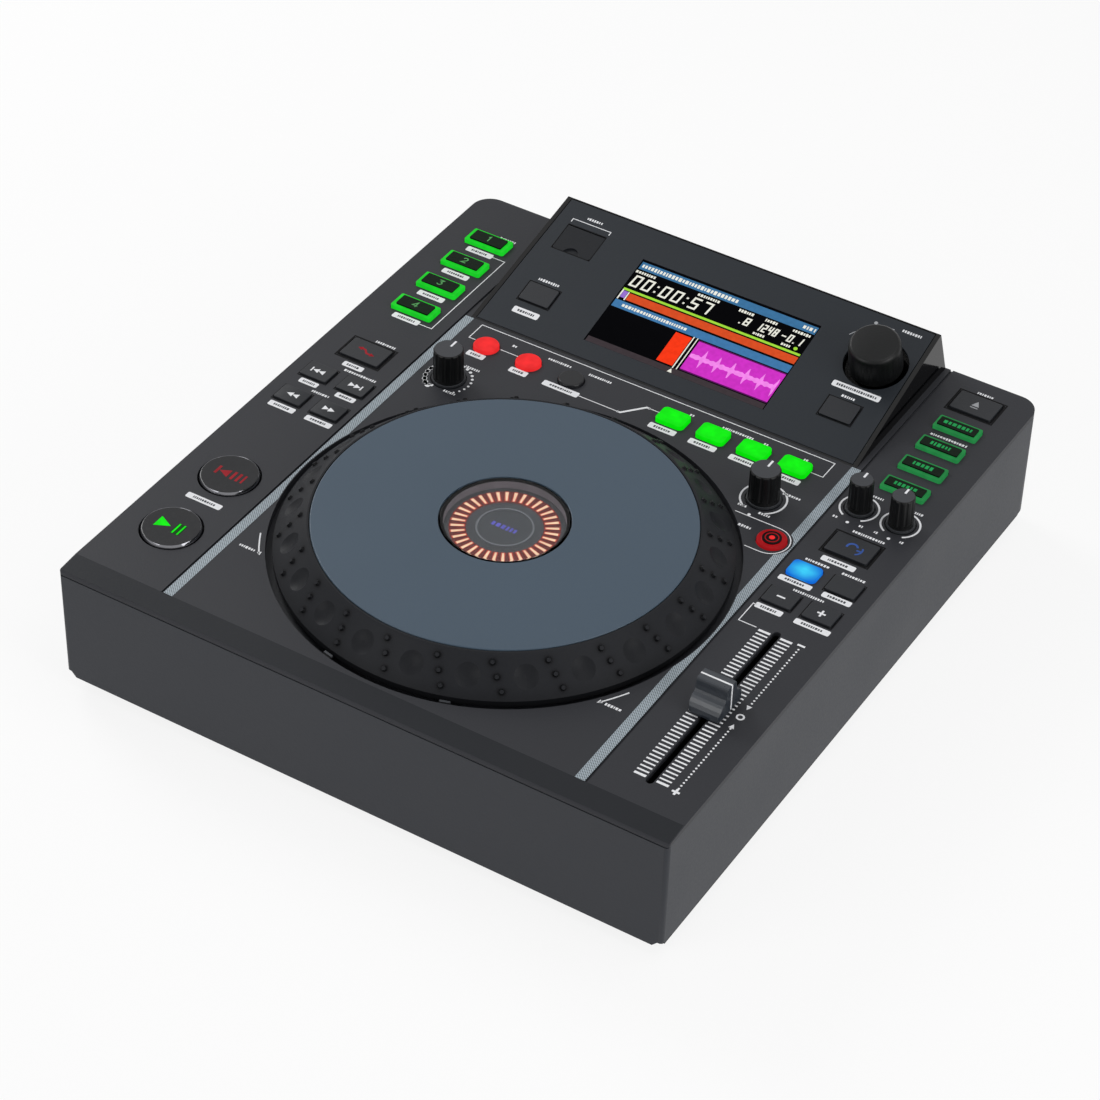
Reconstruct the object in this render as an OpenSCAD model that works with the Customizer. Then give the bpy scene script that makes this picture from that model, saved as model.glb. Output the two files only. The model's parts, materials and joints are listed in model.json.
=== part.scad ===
// Tabletop disc-jockey media player: a flat desk console with a large jog wheel,
// a raised display hood, two columns of keys, four pots and a pitch fader.
// Millimetres. Origin: floor level under the middle of the footprint.
// +X right, +Y back (towards the display hood), +Z up.

/* [Case] */
// Overall width of the console
body_w = 304; // [302:0.5:307]
// Overall depth of the console
body_d = 339; // [337:0.5:343]
// Height of the case from base plate underside to deck
case_h = 60.5; // [56:0.5:66]
// Height of the rubber feet below the base plate
foot_h = 6; // [4:0.5:9]
// Radius of each foot
foot_r = 11; // [8:0.5:13]
// Wall thickness of the case
wall = 2.5; // [2:0.1:3]
// Thickness of the deck moulding
deck_t = 2.5; // [2.2:0.1:2.8]
// Plan radius of the two back corners
back_r = 10; // [6:0.5:12]
// Plan radius of the two front corners
front_r = 2; // [1:0.25:3]
// Depth of the sloping band along the front edge of the deck
band_d = 12.5; // [9:0.5:13]
// Drop of the front band at the front edge
band_drop = 0.9; // [0.3:0.1:1.4]
// Distance of the two long deck grooves from the sides of the case
groove_in = 46.2; // [45.8:0.05:46.4]
// Width of a deck groove
groove_w = 1.2; // [0.8:0.1:1.4]

/* [Jog wheel] */
// Distance of the wheel axis from the front of the case
jog_front = 118.2; // [117.5:0.1:118.9]
// Outer radius of the wheel
jog_r = 100.6; // [99:0.1:101]
// Width of the flank between the touch pad and the rim
flank_w = 16.3; // [15.6:0.1:19]
// Height of the pad above the deck
pad_h = 15.4; // [13.5:0.1:17]
// Gap between the wheel and the wall of its well
well_gap = 3.2; // [2.6:0.1:3.4]
// Depth of the well floor below the deck
well_d = 4.5; // [4:0.1:5]
// Radius of the fixed centre display
hub_disp_r = 28.2; // [26:0.1:28.5]
// Number of finger dimples round the flank
dimples = 24; // [18:1:28]
// Radius of the rolling bearing seat in the wheel
bearing_r = 18; // [17:0.5:19]
// Radius of the hollow centre post
post_r = 12; // [11:0.25:12.5]

/* [Keys] */
// Clearance between a key and its hole, each side
key_gap = 0.35; // [0.3:0.05:0.5]
// Travel of a key
key_travel = 1; // [0.6:0.1:1.2]
// Width of the small square keys
key_w = 14.3; // [13:0.1:15]
// Depth of the small square keys
key_d = 10.6; // [10:0.1:11.5]
// Height of the small keys above the deck
key_h = 1; // [0.8:0.1:2]
// Radius of the two big transport keys
big_r = 13.8; // [13:0.1:14]
// Radius of the round effect keys
round_r = 6.1; // [5.5:0.1:6.5]

/* [Pitch fader] */
// Distance of the fader slot from the right side of the case
fader_in = 24.8; // [24.4:0.1:25.2]
// Distance of the middle of the fader slot from the front of the case
fader_front = 80; // [79.5:0.1:80.5]
// Length of the fader slot
fader_len = 109; // [108:0.5:110]
// Width of the fader slot
fader_slot_w = 3.6; // [3:0.1:4]
// Offset of the cap from the middle of its travel
cap_off = 0; // [-0.5:0.1:0.5]

/* [Display hood] */
// Distance of the front edge of the hood from the back of the case
hood_back = 88.6; // [88.3:0.1:89]
// Tilt of the display panel
tilt = 14.54; // [13:0.02:16]
// Length of the display slope
slope_len = 86; // [85.5:0.1:86.5]
// Distance of each side of the hood from the side of the case
hood_in = 49.4; // [49:0.1:50]
// Draft of the hood sides over its full height
hood_draft = 2; // [1:0.1:2.2]
// Width of the visible screen
screen_w = 96; // [94:0.2:97]
// Height of the visible screen
screen_d = 55.4; // [54:0.2:56]
// Radius of the browse knob
browse_r = 12.6; // [11.8:0.1:13.2]

/* [Hidden] */
$fn = 64;
e = 0.01;
fit = 0.05;                 // running clearance of turning and sliding fits
gap = 0.3;                  // clearance between moving and fixed pieces
deck_z = foot_h + case_h;   // level of the deck
rim_h = 2.7;                // height of the base plate rim
plate_t = 1.5;              // sheet thickness of the base plate
half_w = body_w / 2;
half_d = body_d / 2;
seam_z = deck_z - deck_t;   // joint between deck moulding and side walls

// main features, placed from the edges of the case
groove_x = half_w - groove_in;
jog_y = jog_front - half_d;
pad_r = jog_r - flank_w;
well_r = jog_r + well_gap;
fader_x = half_w - fader_in;
fader_y = fader_front - half_d;
hood_y = half_d - hood_back;
hood_half = half_w - hood_in;

// key positions on the deck, X and Y
hot_at = [for (i = [0:3]) [24.5 - half_w, half_d - 34.1 - 21.3 * i]];
source_at = [for (i = [0:3]) [half_w - 23.8, half_d - 38.9 - 17.2 * i]];
loop_at = [for (i = [0:3]) [16.4 + 21 * i, hood_y - 15.1]];
search_at = [for (y = [57.1, 36.2]) for (x = [14.5, 34.6]) [x - half_w, jog_y + y]];
pitch_at = [for (y = [56.7, 35.8]) for (x = [34.6, 14.9]) [half_w - x, jog_y + y]];
effect_at = [for (x = [-84, -60.9, -37.6]) [x, hood_y - 15.7]];
frame_at = [[24.3 - half_w, jog_y + 81.6], [half_w - 24.6, half_d - 18.7], [half_w - 24.6, jog_y + 81.7]];
big_at = [[24.4 - half_w, jog_y - 26.5], [24.4 - half_w, 48.5 - half_d]];
slip_at = [groove_x - 10.5, jog_y + 67.5];
large_pot_at = [[-85.6, hood_y - 45.4], [78.3, hood_y - 41.6]];
small_pot_at = [[half_w - 35, jog_y + 108.1], [half_w - 14.6, jog_y + 108.1]];

// sizes of the special keys
hot_size = [21.8, 10.4, 1.9];
hot_top = [17.5, 7.3, 2.7];
source_size = [21.4, 9.2, 1.6];
source_top = [18.8, 5.8, 2.3];
loop_size = [14.3, 10.6, 1.8];
frame_size = [20.8, 13.8, 0.9];
frame_hole = [22.8, 15.8];
big_h = 1.3;
slip_r = 6.8;
crisp_r = 0.8;              // corner radius of the dark keys
soft_r = 2.2;               // corner radius of the evenly lit keys

// stack under the deck, measured down from the deck surface
flange_top = deck_t + gap;
flange_t = 1;
stem_end = flange_top + flange_t + 2.2;
switch_top = stem_end + key_travel + gap;
board_top = switch_top + 4.2;
board_t = 1.6;

// pots: knob radius, top radius, height, dish radius, skirt radius
large_knob = [7.2, 7, 17, 8.5, 7.9];
small_knob = [5.6, 5.4, 16.6, 7.2, 6.6];
flutes = 12;                // shallow flutes round each knob
shaft_r = 3;

// panel layout, X and distance up the slope
screen_at = [0.6, 39];
panel_half = hood_half - 3.3;
usb_at = [18.7 - panel_half, 62.5];
usb_size = [20.5, 16];
panel_key_at = [[18.9 - panel_half, 25.5], [panel_half - 19.2, 26]];
panel_key_size = [16, 11.4, 0.7];
browse_at = [panel_half - 17.5, 57.6];
panel_t = 2;
hinge_v = usb_size[1] / 2 - 0.9;

// jog stack, measured up from the deck surface
pad_seat = pad_h - 1.1;
bearing_w = 4;
bearing_z = [-3.2, 2.8];
disp_z = 8.2;
flank_lo = 1.3;
flank_in = 14;
flank_ang = atan((pad_seat - 0.1 - flank_lo) / flank_in);
dimple_r = 5.5;
dimple_depth = 1.2;
dimple_ball = (dimple_r * dimple_r + dimple_depth * dimple_depth) / (2 * dimple_depth);
jog_gap = 0.6;
ring_turn = 7.9;            // turn of the dimples with the wheel at rest

// screws through the base plate into the deck moulding
screw_at = [for (x = [-1, 1]) for (p = [[half_w - 7, 9.5 - half_d], [half_w - 7, half_d - 9.5],
                                       [groove_x - 3.8, hood_y - 3.9], [60, 9.5 - half_d]])
                [x * p[0], p[1]]];
screw_r = 1.3;
boss_r = 3.6;
foot_at = [for (x = [-1, 1]) for (y = [-1, 1]) [x * (half_w - 34), y * (half_d - 31.5)]];

// main board and its pillars on the base plate
main_y = half_d - 104.5;
pillar_at = [for (x = [-1, 1]) for (y = [-70, 70]) [x * (half_w - 67), main_y + y]];

// connector niche at the back
niche_half = half_w - 32.5;
niche_in = 10;
niche_lo = foot_h + 10;
niche_hi = foot_h + 50;
phono_at = [[-20, 39], [-20, 21], [-48, 30]];
phono_r = 4.15;
net_at = [18, 22];
jack_at = [44, 22];
inlet_at = [niche_half - 33.5, 30];
inlet_w = 48;
inlet_h = 28;
niche_y = half_d - niche_in;
wall_in = niche_y - wall;

// ---------------------------------------------------------------- helpers

module deck_at(p) translate([p[0], p[1], deck_z]) children();

module panel_at(p)
    translate([0, hood_y, deck_z])
        rotate([tilt, 0, 0])
            translate([p[0], p[1], 0])
                children();

module jog_at() translate([0, jog_y, deck_z]) children();

// rounded rectangle in the plane
module round_rect(w, d, r) {
    square([w - 2 * r, d], center = true);
    square([w, d - 2 * r], center = true);
    for (sx = [-1, 1])
        for (sy = [-1, 1])
            translate([sx * (w / 2 - r), sy * (d / 2 - r)])
                circle(r);
}

// plan of the case, shrunk by "inset" on every side
module case_plan(inset) {
    w = half_w - inset;
    d = half_d - inset;
    rb = back_r - inset;
    rf = max(front_r - inset, 0.2);
    translate([-w, -d + rf])
        square([2 * w, 2 * d - rf - rb]);
    translate([-w + rf, -d])
        square([2 * (w - rf), 2 * d - rb]);
    translate([-w + rb, 0])
        square([2 * (w - rb), d]);
    for (s = [-1, 1]) {
        translate([s * (w - rb), d - rb])
            circle(rb);
        translate([s * (w - rf), -d + rf])
            circle(rf);
    }
}

// block with a rounded plan, from level z0 to level z1
module bar(w, d, r, z0, z1)
    translate([0, 0, z0])
        linear_extrude(z1 - z0)
            round_rect(w, d, r);

module disc(r, z0, z1)
    translate([0, 0, z0])
        cylinder(r = r, h = z1 - z0);

// box from level z0 to level z1, centred in plan
module block(w, d, z0, z1)
    translate([-w / 2, -d / 2, z0])
        cube([w, d, z1 - z0]);

// retaining flange and plunger under a key, for a hole of the given size
module key_foot(w, d) {
    bar(w + 1.6, d + 1.6, 1, -flange_top - flange_t, -flange_top);
    disc(1.5, -stem_end, -flange_top);
}

// rectangular key: body with corner radius r down to its flange, top at h
module square_key(w, d, h, r, hole_w, hole_d) {
    bar(w, d, r, -flange_top - flange_t, h);
    key_foot(hole_w, hole_d);
}

module small_key(r) square_key(key_w, key_d, key_h, r, key_w + 2 * key_gap, key_d + 2 * key_gap);

module frame_key()
    square_key(frame_size[0], frame_size[1], frame_size[2], crisp_r, frame_hole[0], frame_hole[1]);

// translucent base with a raised dark label plate
module label_key(size, top) {
    square_key(size[0], size[1], size[2], crisp_r, size[0] + 2 * key_gap, size[1] + 2 * key_gap);
    bar(top[0], top[1], 0.5, 0, top[2]);
}

module round_key(r, h, edge) {
    disc(r, -flange_top - flange_t, h - edge);
    translate([0, 0, h - edge])
        cylinder(r1 = r, r2 = r - edge * 0.7, h = edge);
    disc(r + key_gap + 0.9, -flange_top - flange_t, -flange_top);
    disc(1.5, -stem_end, -flange_top);
}

// push switch standing on a board, below a key
module tact_switch() {
    block(6, 6, -board_top, -switch_top - 0.8);
    disc(1.6, -switch_top - 0.8, -switch_top);
}

// fluted knob with a thin skirt and its shaft
module pot_knob(k)
    difference() {
        union() {
            disc(k[4], 0, 0.9);
            cylinder(r1 = k[0], r2 = k[1], h = k[2] - 0.6);
            translate([0, 0, k[2] - 0.6])
                cylinder(r1 = k[1], r2 = k[1] - 0.5, h = 0.6);
            disc(shaft_r, -board_top + 2, 0.5);
        }
        for (i = [0:flutes - 1])
            rotate([0, 0, (i + 0.5) * 360 / flutes])
                translate([k[1] + 0.65, 0, 2.6])
                    cylinder(r = 1, h = k[2]);
    }

// pot body with a threaded neck; the shaft turns in its bore
module pot_body(neck_r) {
    difference() {
        union() {
            block(2.6 * neck_r, 2.6 * neck_r, -board_top, -board_top + 5);
            disc(neck_r, -board_top + 4, -gap);
        }
        disc(shaft_r + fit, -board_top + 1.5, 1);
    }
}

// ---------------------------------------------------------------- case

// pressed steel base with rim, vents, board pillars and screw holes
module base_plate() {
    color([0.10, 0.10, 0.11])
    difference() {
        union() {
            translate([0, 0, foot_h])
                linear_extrude(plate_t)
                    base_plan(0.9);
            translate([0, 0, foot_h])
                linear_extrude(rim_h)
                    difference() {
                        base_plan(0.9);
                        base_plan(0.9 + plate_t);
                    }
            for (p = pillar_at)
                translate([p[0], p[1], foot_h])
                    disc(3, 0, 8);
        }
        for (p = screw_at)
            translate([p[0], p[1], foot_h])
                disc(screw_r, -1, plate_t + 1);
        for (p = foot_at)
            translate([p[0], p[1], foot_h])
                disc(2, -1, plate_t + 1);
        for (s = [-1, 1])
            for (i = [0:9])
                translate([s * 62, -95 + 7 * i, foot_h])
                    block(34, 2.6, -1, plate_t + 1);
    }
}

module base_plan(inset)
    difference() {
        case_plan(inset);
        translate([-half_w, -half_d])
            square([body_w, wall + inset]);
    }

// side, front and back walls with the connector niche
module lower_case() {
    color([0.30, 0.30, 0.31])
    difference() {
        union() {
            translate([0, 0, foot_h + rim_h])
                linear_extrude(seam_z - foot_h - rim_h)
                    difference() {
                        case_plan(0);
                        case_plan(wall);
                    }
            front_wall();
            translate([0, (wall_in + half_d - 1) / 2, 0])
                block(2 * niche_half + 2 * wall, half_d - 1 - wall_in, niche_lo - wall, niche_hi + wall);
        }
        translate([0, niche_y + 10, 0])
            block(2 * niche_half, 20, niche_lo, niche_hi);
        // shadow groove under the front edge of the deck
        translate([-half_w - 1, -half_d - 1, seam_z - 0.6])
            cube([body_w + 2, 2, 0.7]);
        for (p = phono_at)
            back_hole(p, phono_r + 1.1);
        back_box(net_at, 16.4, 13.8);
        back_hole(jack_at, 3.2);
        back_box(inlet_at, inlet_w - 4, inlet_h - 4);
        for (p = screw_at)
            translate([p[0], p[1], foot_h])
                disc(screw_r, 0, 4);
    }
}

module back_hole(p, r)
    translate([p[0], wall_in - 1, foot_h + p[1]])
        rotate([-90, 0, 0])
            cylinder(r = r, h = wall + 2);

module back_box(p, w, h)
    translate([p[0] - w / 2, wall_in - 1, foot_h + p[1] - h / 2])
        cube([w, wall + 2, h]);

// the front wall reaches down past the base plate, with clipped lower corners
module front_wall()
    translate([0, -half_d + wall, foot_h])
        rotate([90, 0, 0])
            linear_extrude(wall)
                polygon([[-half_w + 5, 0], [half_w - 5, 0], [half_w - front_r, 3.3], [half_w - front_r, 8],
                         [-half_w + front_r, 8], [-half_w + front_r, 3.3]]);

// deck moulding: one plate with every opening, the jog well and the screw bosses
module top_cover() {
    color([0.31, 0.31, 0.32])
    difference() {
        union() {
            translate([0, 0, seam_z])
                linear_extrude(deck_t)
                    case_plan(0);
            jog_at()
                disc(well_r + 1.5, -well_d - 1.5, -deck_t / 2);
            for (p = screw_at)
                translate([p[0], p[1], 0])
                    disc(boss_r, foot_h + plate_t, seam_z + 1);
            for (p = concat(large_pot_at, small_pot_at))
                deck_at(p)
                    disc(large_knob[3] + 1.2, -deck_t - 1.2, -1);
        }
        // sloping front band and its rounded edge
        translate([-half_w - 1, -half_d, deck_z])
            rotate([90, 0, 90])
                linear_extrude(body_w + 2)
                    polygon([[-1, -deck_t * 0.72], [0, -deck_t * 0.72], [0.35, -band_drop - 0.45],
                             [1.1, -band_drop], [band_d, 0], [band_d, 1], [-1, 1]]);
        // jog well
        jog_at()
            disc(well_r, -well_d, 1);
        jog_at()
            disc(post_r, -well_d - 2, 0);
        for (a = [30:120:270])
            jog_at()
                rotate([0, 0, a])
                    translate([post_r + 3, 0, -well_d - 2])
                        cylinder(r = 0.9, h = 1.6);
        // long grooves and the recesses of the trim strips
        for (s = [-1, 1]) {
            translate([s * groove_x, band_d / 2, deck_z])
                block(groove_w, body_d - band_d + 2, -0.9, 1);
            translate([0, 0, deck_z - 0.3])
                linear_extrude(1)
                    strip_plan(s);
        }
        // opening below the display hood
        translate([0, hood_y + hood_back / 2 - 2.3, 0])
            block(2 * hood_half - 12, hood_back - 14.6, seam_z - 1, deck_z + 1);
        // key openings
        for (p = concat(search_at, [for (i = [1:3]) pitch_at[i]]))
            deck_at(p)
                opening(key_w, key_d, crisp_r, key_gap);
        deck_at(pitch_at[0])
            opening(key_w, key_d, soft_r, key_gap);
        for (p = hot_at)
            deck_at(p)
                opening(hot_size[0], hot_size[1], crisp_r, key_gap);
        for (p = source_at)
            deck_at(p)
                opening(source_size[0], source_size[1], crisp_r, key_gap);
        for (p = loop_at)
            deck_at(p)
                opening(loop_size[0], loop_size[1], soft_r, key_gap);
        for (p = frame_at)
            deck_at(p)
                opening(frame_hole[0], frame_hole[1], crisp_r, 0);
        for (p = effect_at)
            deck_at(p)
                disc(round_r + key_gap, -deck_t - 1, 1);
        for (p = big_at)
            deck_at(p)
                disc(big_r + 0.6, -deck_t - 1, 1);
        deck_at(slip_at)
            disc(slip_r + key_gap, -deck_t - 1, 1);
        // pot dishes, with a hole for each neck
        for (p = large_pot_at)
            deck_at(p)
                pot_dish(large_knob[3]);
        for (p = small_pot_at)
            deck_at(p)
                pot_dish(small_knob[3]);
        // fader slot
        translate([fader_x, fader_y, deck_z])
            bar(fader_slot_w, fader_len, fader_slot_w / 2 - 0.1, -deck_t - 1, 1);
        for (p = screw_at)
            translate([p[0], p[1], foot_h])
                disc(screw_r, 0, 14);
    }
}

// hole for a key of plan w by d and corner radius r, with clearance c
module opening(w, d, r, c) bar(w + 2 * c, d + 2 * c, r + c, -deck_t - 1, 1);

module pot_dish(r) {
    disc(r, -1.4, 1);
    disc(shaft_r + 2.1, -deck_t - 2, 1);
}

// plan of one trim strip: a straight band cut round the jog well and the slip key
module strip_plan(s)
    difference() {
        translate([s > 0 ? groove_x - 5.2 : 0.6 - groove_x, -half_d + band_d])
            square([4.6, hood_y + half_d - band_d - 0.3]);
        translate([0, jog_y])
            circle(well_r + 0.4);
        translate([slip_at[0], slip_at[1]])
            circle(slip_r + 2.7);
    }

module trim_strips() {
    color([0.72, 0.73, 0.75])
    translate([0, 0, deck_z - 0.3])
        linear_extrude(0.4)
            for (s = [-1, 1])
                strip_plan(s);
}

module feet() {
    color([0.06, 0.06, 0.06])
    for (p = foot_at)
        translate([p[0], p[1], 0])
            difference() {
                union() {
                    cylinder(r1 = foot_r - 1, r2 = foot_r, h = 1.5);
                    disc(foot_r, 1.5, foot_h);
                    disc(2, foot_h - 1, foot_h + plate_t + 0.8);
                }
                disc(foot_r * 0.45, -1, foot_h * 0.4);
            }
}

module screws() {
    color([0.55, 0.55, 0.57])
    for (p = screw_at)
        translate([p[0], p[1], foot_h])
            difference() {
                union() {
                    translate([0, 0, -1.6])
                        cylinder(r1 = 2.3, r2 = 2.8, h = 1.6);
                    disc(screw_r, -0.5, 12);
                }
                block(3.4, 0.7, -2, -0.9);
                block(0.7, 3.4, -2, -0.9);
            }
}

// ---------------------------------------------------------------- display hood

// outline of the inclined panel, grown by c, from level z0 to level z1
module panel_plate(c, z0, z1)
    panel_at([0, 0])
        translate([0, 0, z0])
            linear_extrude(z1 - z0)
                polygon([[-panel_half - 0.7 - c, 1.4 - c], [panel_half + 0.7 + c, 1.4 - c],
                         [panel_half - 1.3 + c, slope_len - 1 + c], [1.3 - panel_half - c, slope_len - 1 + c]]);

// wedge with drafted sides; "inset" shrinks it for the inner hollow
module hood_wedge(inset) {
    top = slope_len * sin(tilt);
    run = slope_len * cos(tilt);
    k = hood_draft / top;
    intersection() {
        translate([-half_w, hood_y, deck_z])
            rotate([90, 0, 90])
                linear_extrude(body_w)
                    polygon([[inset * 3, 0], [run - inset * 0.8, top - inset * 1.03],
                             [run + 4.8 - inset * 1.1, inset > 0 ? -1 : 0], [inset * 3, inset > 0 ? -1 : 0]]);
        translate([0, half_d, deck_z])
            rotate([90, 0, 0])
                linear_extrude(body_d / 2)
                    polygon([[-hood_half - k + inset, -1], [hood_half + k - inset, -1],
                             [hood_half - hood_draft - k - inset, top + 1],
                             [-hood_half + hood_draft + k + inset, top + 1]]);
    }
}

// hollow wedge standing on the deck, with a recess for the panel
module display_housing() {
    color([0.31, 0.31, 0.32])
    difference() {
        hood_wedge(0);
        hood_wedge(2.4);
        panel_plate(0.4, -panel_t, 4);
        panel_at([0, slope_len / 2 + 1])
            block(2 * panel_half - 5, slope_len - 8, -20, 1);
    }
}

// inclined fascia: screen window, key holes, knob dish and the port pocket
module display_panel() {
    color([0.31, 0.32, 0.34])
    difference() {
        union() {
            panel_plate(0, -panel_t, 0);
            panel_at(browse_at)
                disc(16.7, -4.4, -1);
            panel_at(usb_at)
                bar(usb_size[0] + 4.4, usb_size[1] + 4, 1, -10, -1);
        }
        // the lower edge is planed off where it rests on the deck
        translate([-half_w, hood_y - 5, deck_z - 10])
            cube([body_w, 5 + 9.2, 10]);
        panel_at(screen_at)
            block(screen_w, screen_d, -panel_t - 1, 1);
        for (p = panel_key_at)
            panel_at(p)
                bar(panel_key_size[0] + 2 * key_gap, panel_key_size[1] + 2 * key_gap, 0.9, -panel_t - 1, 1);
        panel_at(browse_at) {
            disc(15.3, -3.2, 1);
            disc(4, -5, 0);
        }
        panel_at(usb_at) {
            bar(usb_size[0] + 2 * gap, usb_size[1] + 2 * gap, 0.8, -8.8, 1);
            block(14.2, 6.8, -11, 0);
            translate([0, hinge_v, -0.9])
                rotate([0, 90, 0])
                    cylinder(r = 0.6 + fit, h = usb_size[0] + 2.4, center = true);
        }
    }
}

module display_glass() {
    color([0.05, 0.05, 0.07])
    panel_at(screen_at)
        block(screen_w, screen_d, -1.4, -0.2);
}

// screen unit clipped behind the fascia
module lcd_module() {
    color([0.35, 0.36, 0.38])
    panel_at(screen_at)
        union() {
            block(screen_w + 9.6, screen_d + 9, -6.2, -panel_t);
            block(screen_w, screen_d, -2.5, -1.4);
            block(70, 40, -8.5, -6);
        }
}

module usb_cover() {
    color([0.28, 0.29, 0.31])
    panel_at(usb_at)
        difference() {
            union() {
                translate([0, -0.45, 0])
                    bar(usb_size[0], usb_size[1] - 0.9, 1.4, -1.6, 0);
                translate([0, hinge_v - 2, 0])
                    block(usb_size[0], 4, -1.8, 0);
                translate([0, hinge_v, -0.9])
                    rotate([0, 90, 0]) {
                        cylinder(r = 0.9, h = usb_size[0], center = true);
                        cylinder(r = 0.6, h = usb_size[0] + 2, center = true);
                    }
            }
            // finger dip at the lower edge
            translate([0, -usb_size[1] / 2 - 0.8, 0])
                disc(4.2, -0.9, 1);
            // rounded back edge, so that the flap swings clear
            translate([0, hinge_v, -0.9])
                difference() {
                    translate([-usb_size[0], 0, -2])
                        cube([2 * usb_size[0], 4, 4]);
                    rotate([0, 90, 0])
                        cylinder(r = 0.9, h = 3 * usb_size[0], center = true);
                }
        }
}

// ---------------------------------------------------------------- back connectors

// phono sockets, network socket and remote jack on one upright board
module rear_jacks() {
    color([0.75, 0.72, 0.62])
    union() {
        translate([-3, wall_in - 11.2, foot_h])
            block(120, 1.6, 12, 50);
        for (p = phono_at)
            translate([p[0], wall_in, foot_h + p[1]])
                rotate([-90, 0, 0])
                    difference() {
                        union() {
                            disc(phono_r + 1, -10.5, wall);
                            disc(phono_r, 0, wall + 9);
                        }
                        disc(1.7, 1, wall + 10);
                        difference() {
                            disc(3.4, wall, wall + 10);
                            disc(2.6, wall - 1, wall + 8);
                        }
                    }
        translate([net_at[0], wall_in, foot_h + net_at[1]])
            difference() {
                translate([-8, -10.5, -6.7])
                    cube([16, 12.4, 13.4]);
                translate([-5.9, -8, -4.2])
                    cube([11.8, 12, 6.8]);
                translate([-3, -8, 2])
                    cube([6, 12, 2.6]);
            }
        translate([jack_at[0], wall_in, foot_h + jack_at[1]])
            rotate([-90, 0, 0])
                difference() {
                    union() {
                        block(8, 12, -10.5, 0);
                        disc(3, 0, wall + 0.8);
                    }
                    disc(1.8, -8, wall + 2);
                }
    }
}

// mains inlet with its three blades, and the bezel of the rocker switch
module power_inlet() {
    color([0.07, 0.07, 0.08])
    translate([inlet_at[0], niche_y, foot_h + inlet_at[1]])
        difference() {
            union() {
                translate([-inlet_w / 2, 0, -inlet_h / 2])
                    cube([inlet_w, 1.8, inlet_h]);
                translate([-inlet_w / 2 + 2.4, -20, -inlet_h / 2 + 2.4])
                    cube([inlet_w - 4.8, 21, inlet_h - 4.8]);
            }
            difference() {
                translate([-inlet_w / 2 + 4.6, -15, -8.5])
                    cube([24.6, 20, 17]);
                for (i = [-1:1])
                    translate([-inlet_w / 2 + 16.9 + 7 * i - 1, -16, -4 + (i == 0 ? 4 : 0)])
                        cube([2, 13, 4]);
            }
            translate([inlet_w / 2 - 14.6, -14, -10.4])
                cube([10.6, 20, 20.8]);
            translate([inlet_w / 2 - 9.3, -4, 0])
                rotate([0, 90, 0])
                    cylinder(r = 0.9 + fit, h = 12.6, center = true);
        }
}

// rocker: turns about a pin across its bezel
module power_switch() {
    color([0.05, 0.05, 0.05])
    translate([inlet_at[0] + inlet_w / 2 - 9.3, niche_y - 4, foot_h + inlet_at[1]])
        rotate([9, 0, 0])
            union() {
                translate([-4.9, 0, 0])
                    rotate([90, 0, 90])
                        linear_extrude(9.8)
                            polygon([[-4, -5], [5.2, -9.2], [4.6, 0], [5.2, 9.2], [-4, 5]]);
                rotate([0, 90, 0])
                    cylinder(r = 0.9, h = 12, center = true);
            }
}

// ---------------------------------------------------------------- boards

// processor board, mains supply can and its parts, standing on the base plate
module main_board() {
    color([0.10, 0.30, 0.16])
    translate([0, main_y, foot_h + 8])
        difference() {
            union() {
                block(body_w - 120, 154, 0, board_t);
                translate([60, 31, 0])
                    block(52, 66, 1, 26);
                translate([-30, 35, 0])
                    block(31, 31, 1, 4);
                translate([-30, -15, 0])
                    block(24, 24, 1, 3.4);
                for (i = [0:6])
                    translate([-76, 11 + 8 * i, 0])
                        block(30, 1.6, 1, 15);
                translate([-76, 35, 0])
                    block(30, 52, 1, 4);
                for (i = [0:5])
                    translate([20, 14 * i - 45, 0])
                        disc(4, 1, 13);
                for (x = [-70:35:70])
                    translate([x, -67, 0])
                        block(22, 6, 1, 8);
            }
            for (p = pillar_at)
                translate([p[0], p[1] - main_y, 0])
                    disc(1.3, -1, 3);
        }
}

// switch boards under the deck and behind the fascia, with switches, pots and port
module control_boards() {
    color([0.11, 0.28, 0.17])
    union() {
        translate([0, 0, deck_z - board_top - board_t]) {
            left_board();
            right_board();
            centre_board();
        }
        for (p = concat(hot_at, source_at, loop_at, search_at, pitch_at, effect_at, frame_at, big_at,
                        [slip_at]))
            deck_at(p)
                tact_switch();
        for (p = concat(large_pot_at, small_pot_at))
            deck_at(p)
                pot_body(4.6);
        for (p = board_post_at)
            deck_at(p)
                disc(2, -board_top, -deck_t);
        panel_board();
    }
}

// posts between the boards and the deck moulding
board_post_at = concat(
    [for (x = [40, 8]) for (y = [half_d - 23.5, jog_y + 99.3, 71.5 - half_d, 33.5 - half_d]) [x - half_w, y]],
    [[half_w - 40, half_d - 29.5], [half_w - 7, half_d - 29.5], [half_w - 40, jog_y + 93.3],
     [half_w - 5, jog_y + 93.3], [half_w - 25, jog_y + 44.3], [half_w - 7, jog_y + 26.8],
     [-73, hood_y - 9.9], [0, hood_y - 9.9], [92, hood_y - 22.9], [-95, hood_y - 35.9],
     [67, hood_y - 45.3], [88, hood_y - 56.9]]);

module left_board()
    translate([24 - half_w, 5, 0])
        block(40, body_d - 49, 0, board_t);

module right_board()
    translate([half_w - 43.5, jog_y + 24.3, 0])
        cube([40, half_d - 38.8 - jog_y, board_t]);

module centre_board() {
    translate([0, hood_y - 15.9, 0])
        block(186, 17, 0, board_t);
    translate([large_pot_at[0][0], hood_y - 37.9, 0])
        block(24, 40, 0, board_t);
    translate([large_pot_at[1][0] + 2.7, hood_y - 40.9, 0])
        block(32, 40, 0, board_t);
    translate([slip_at[0] - 1.3, slip_at[1] - 0.2, 0])
        block(19, 20, 0, board_t);
}

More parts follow.
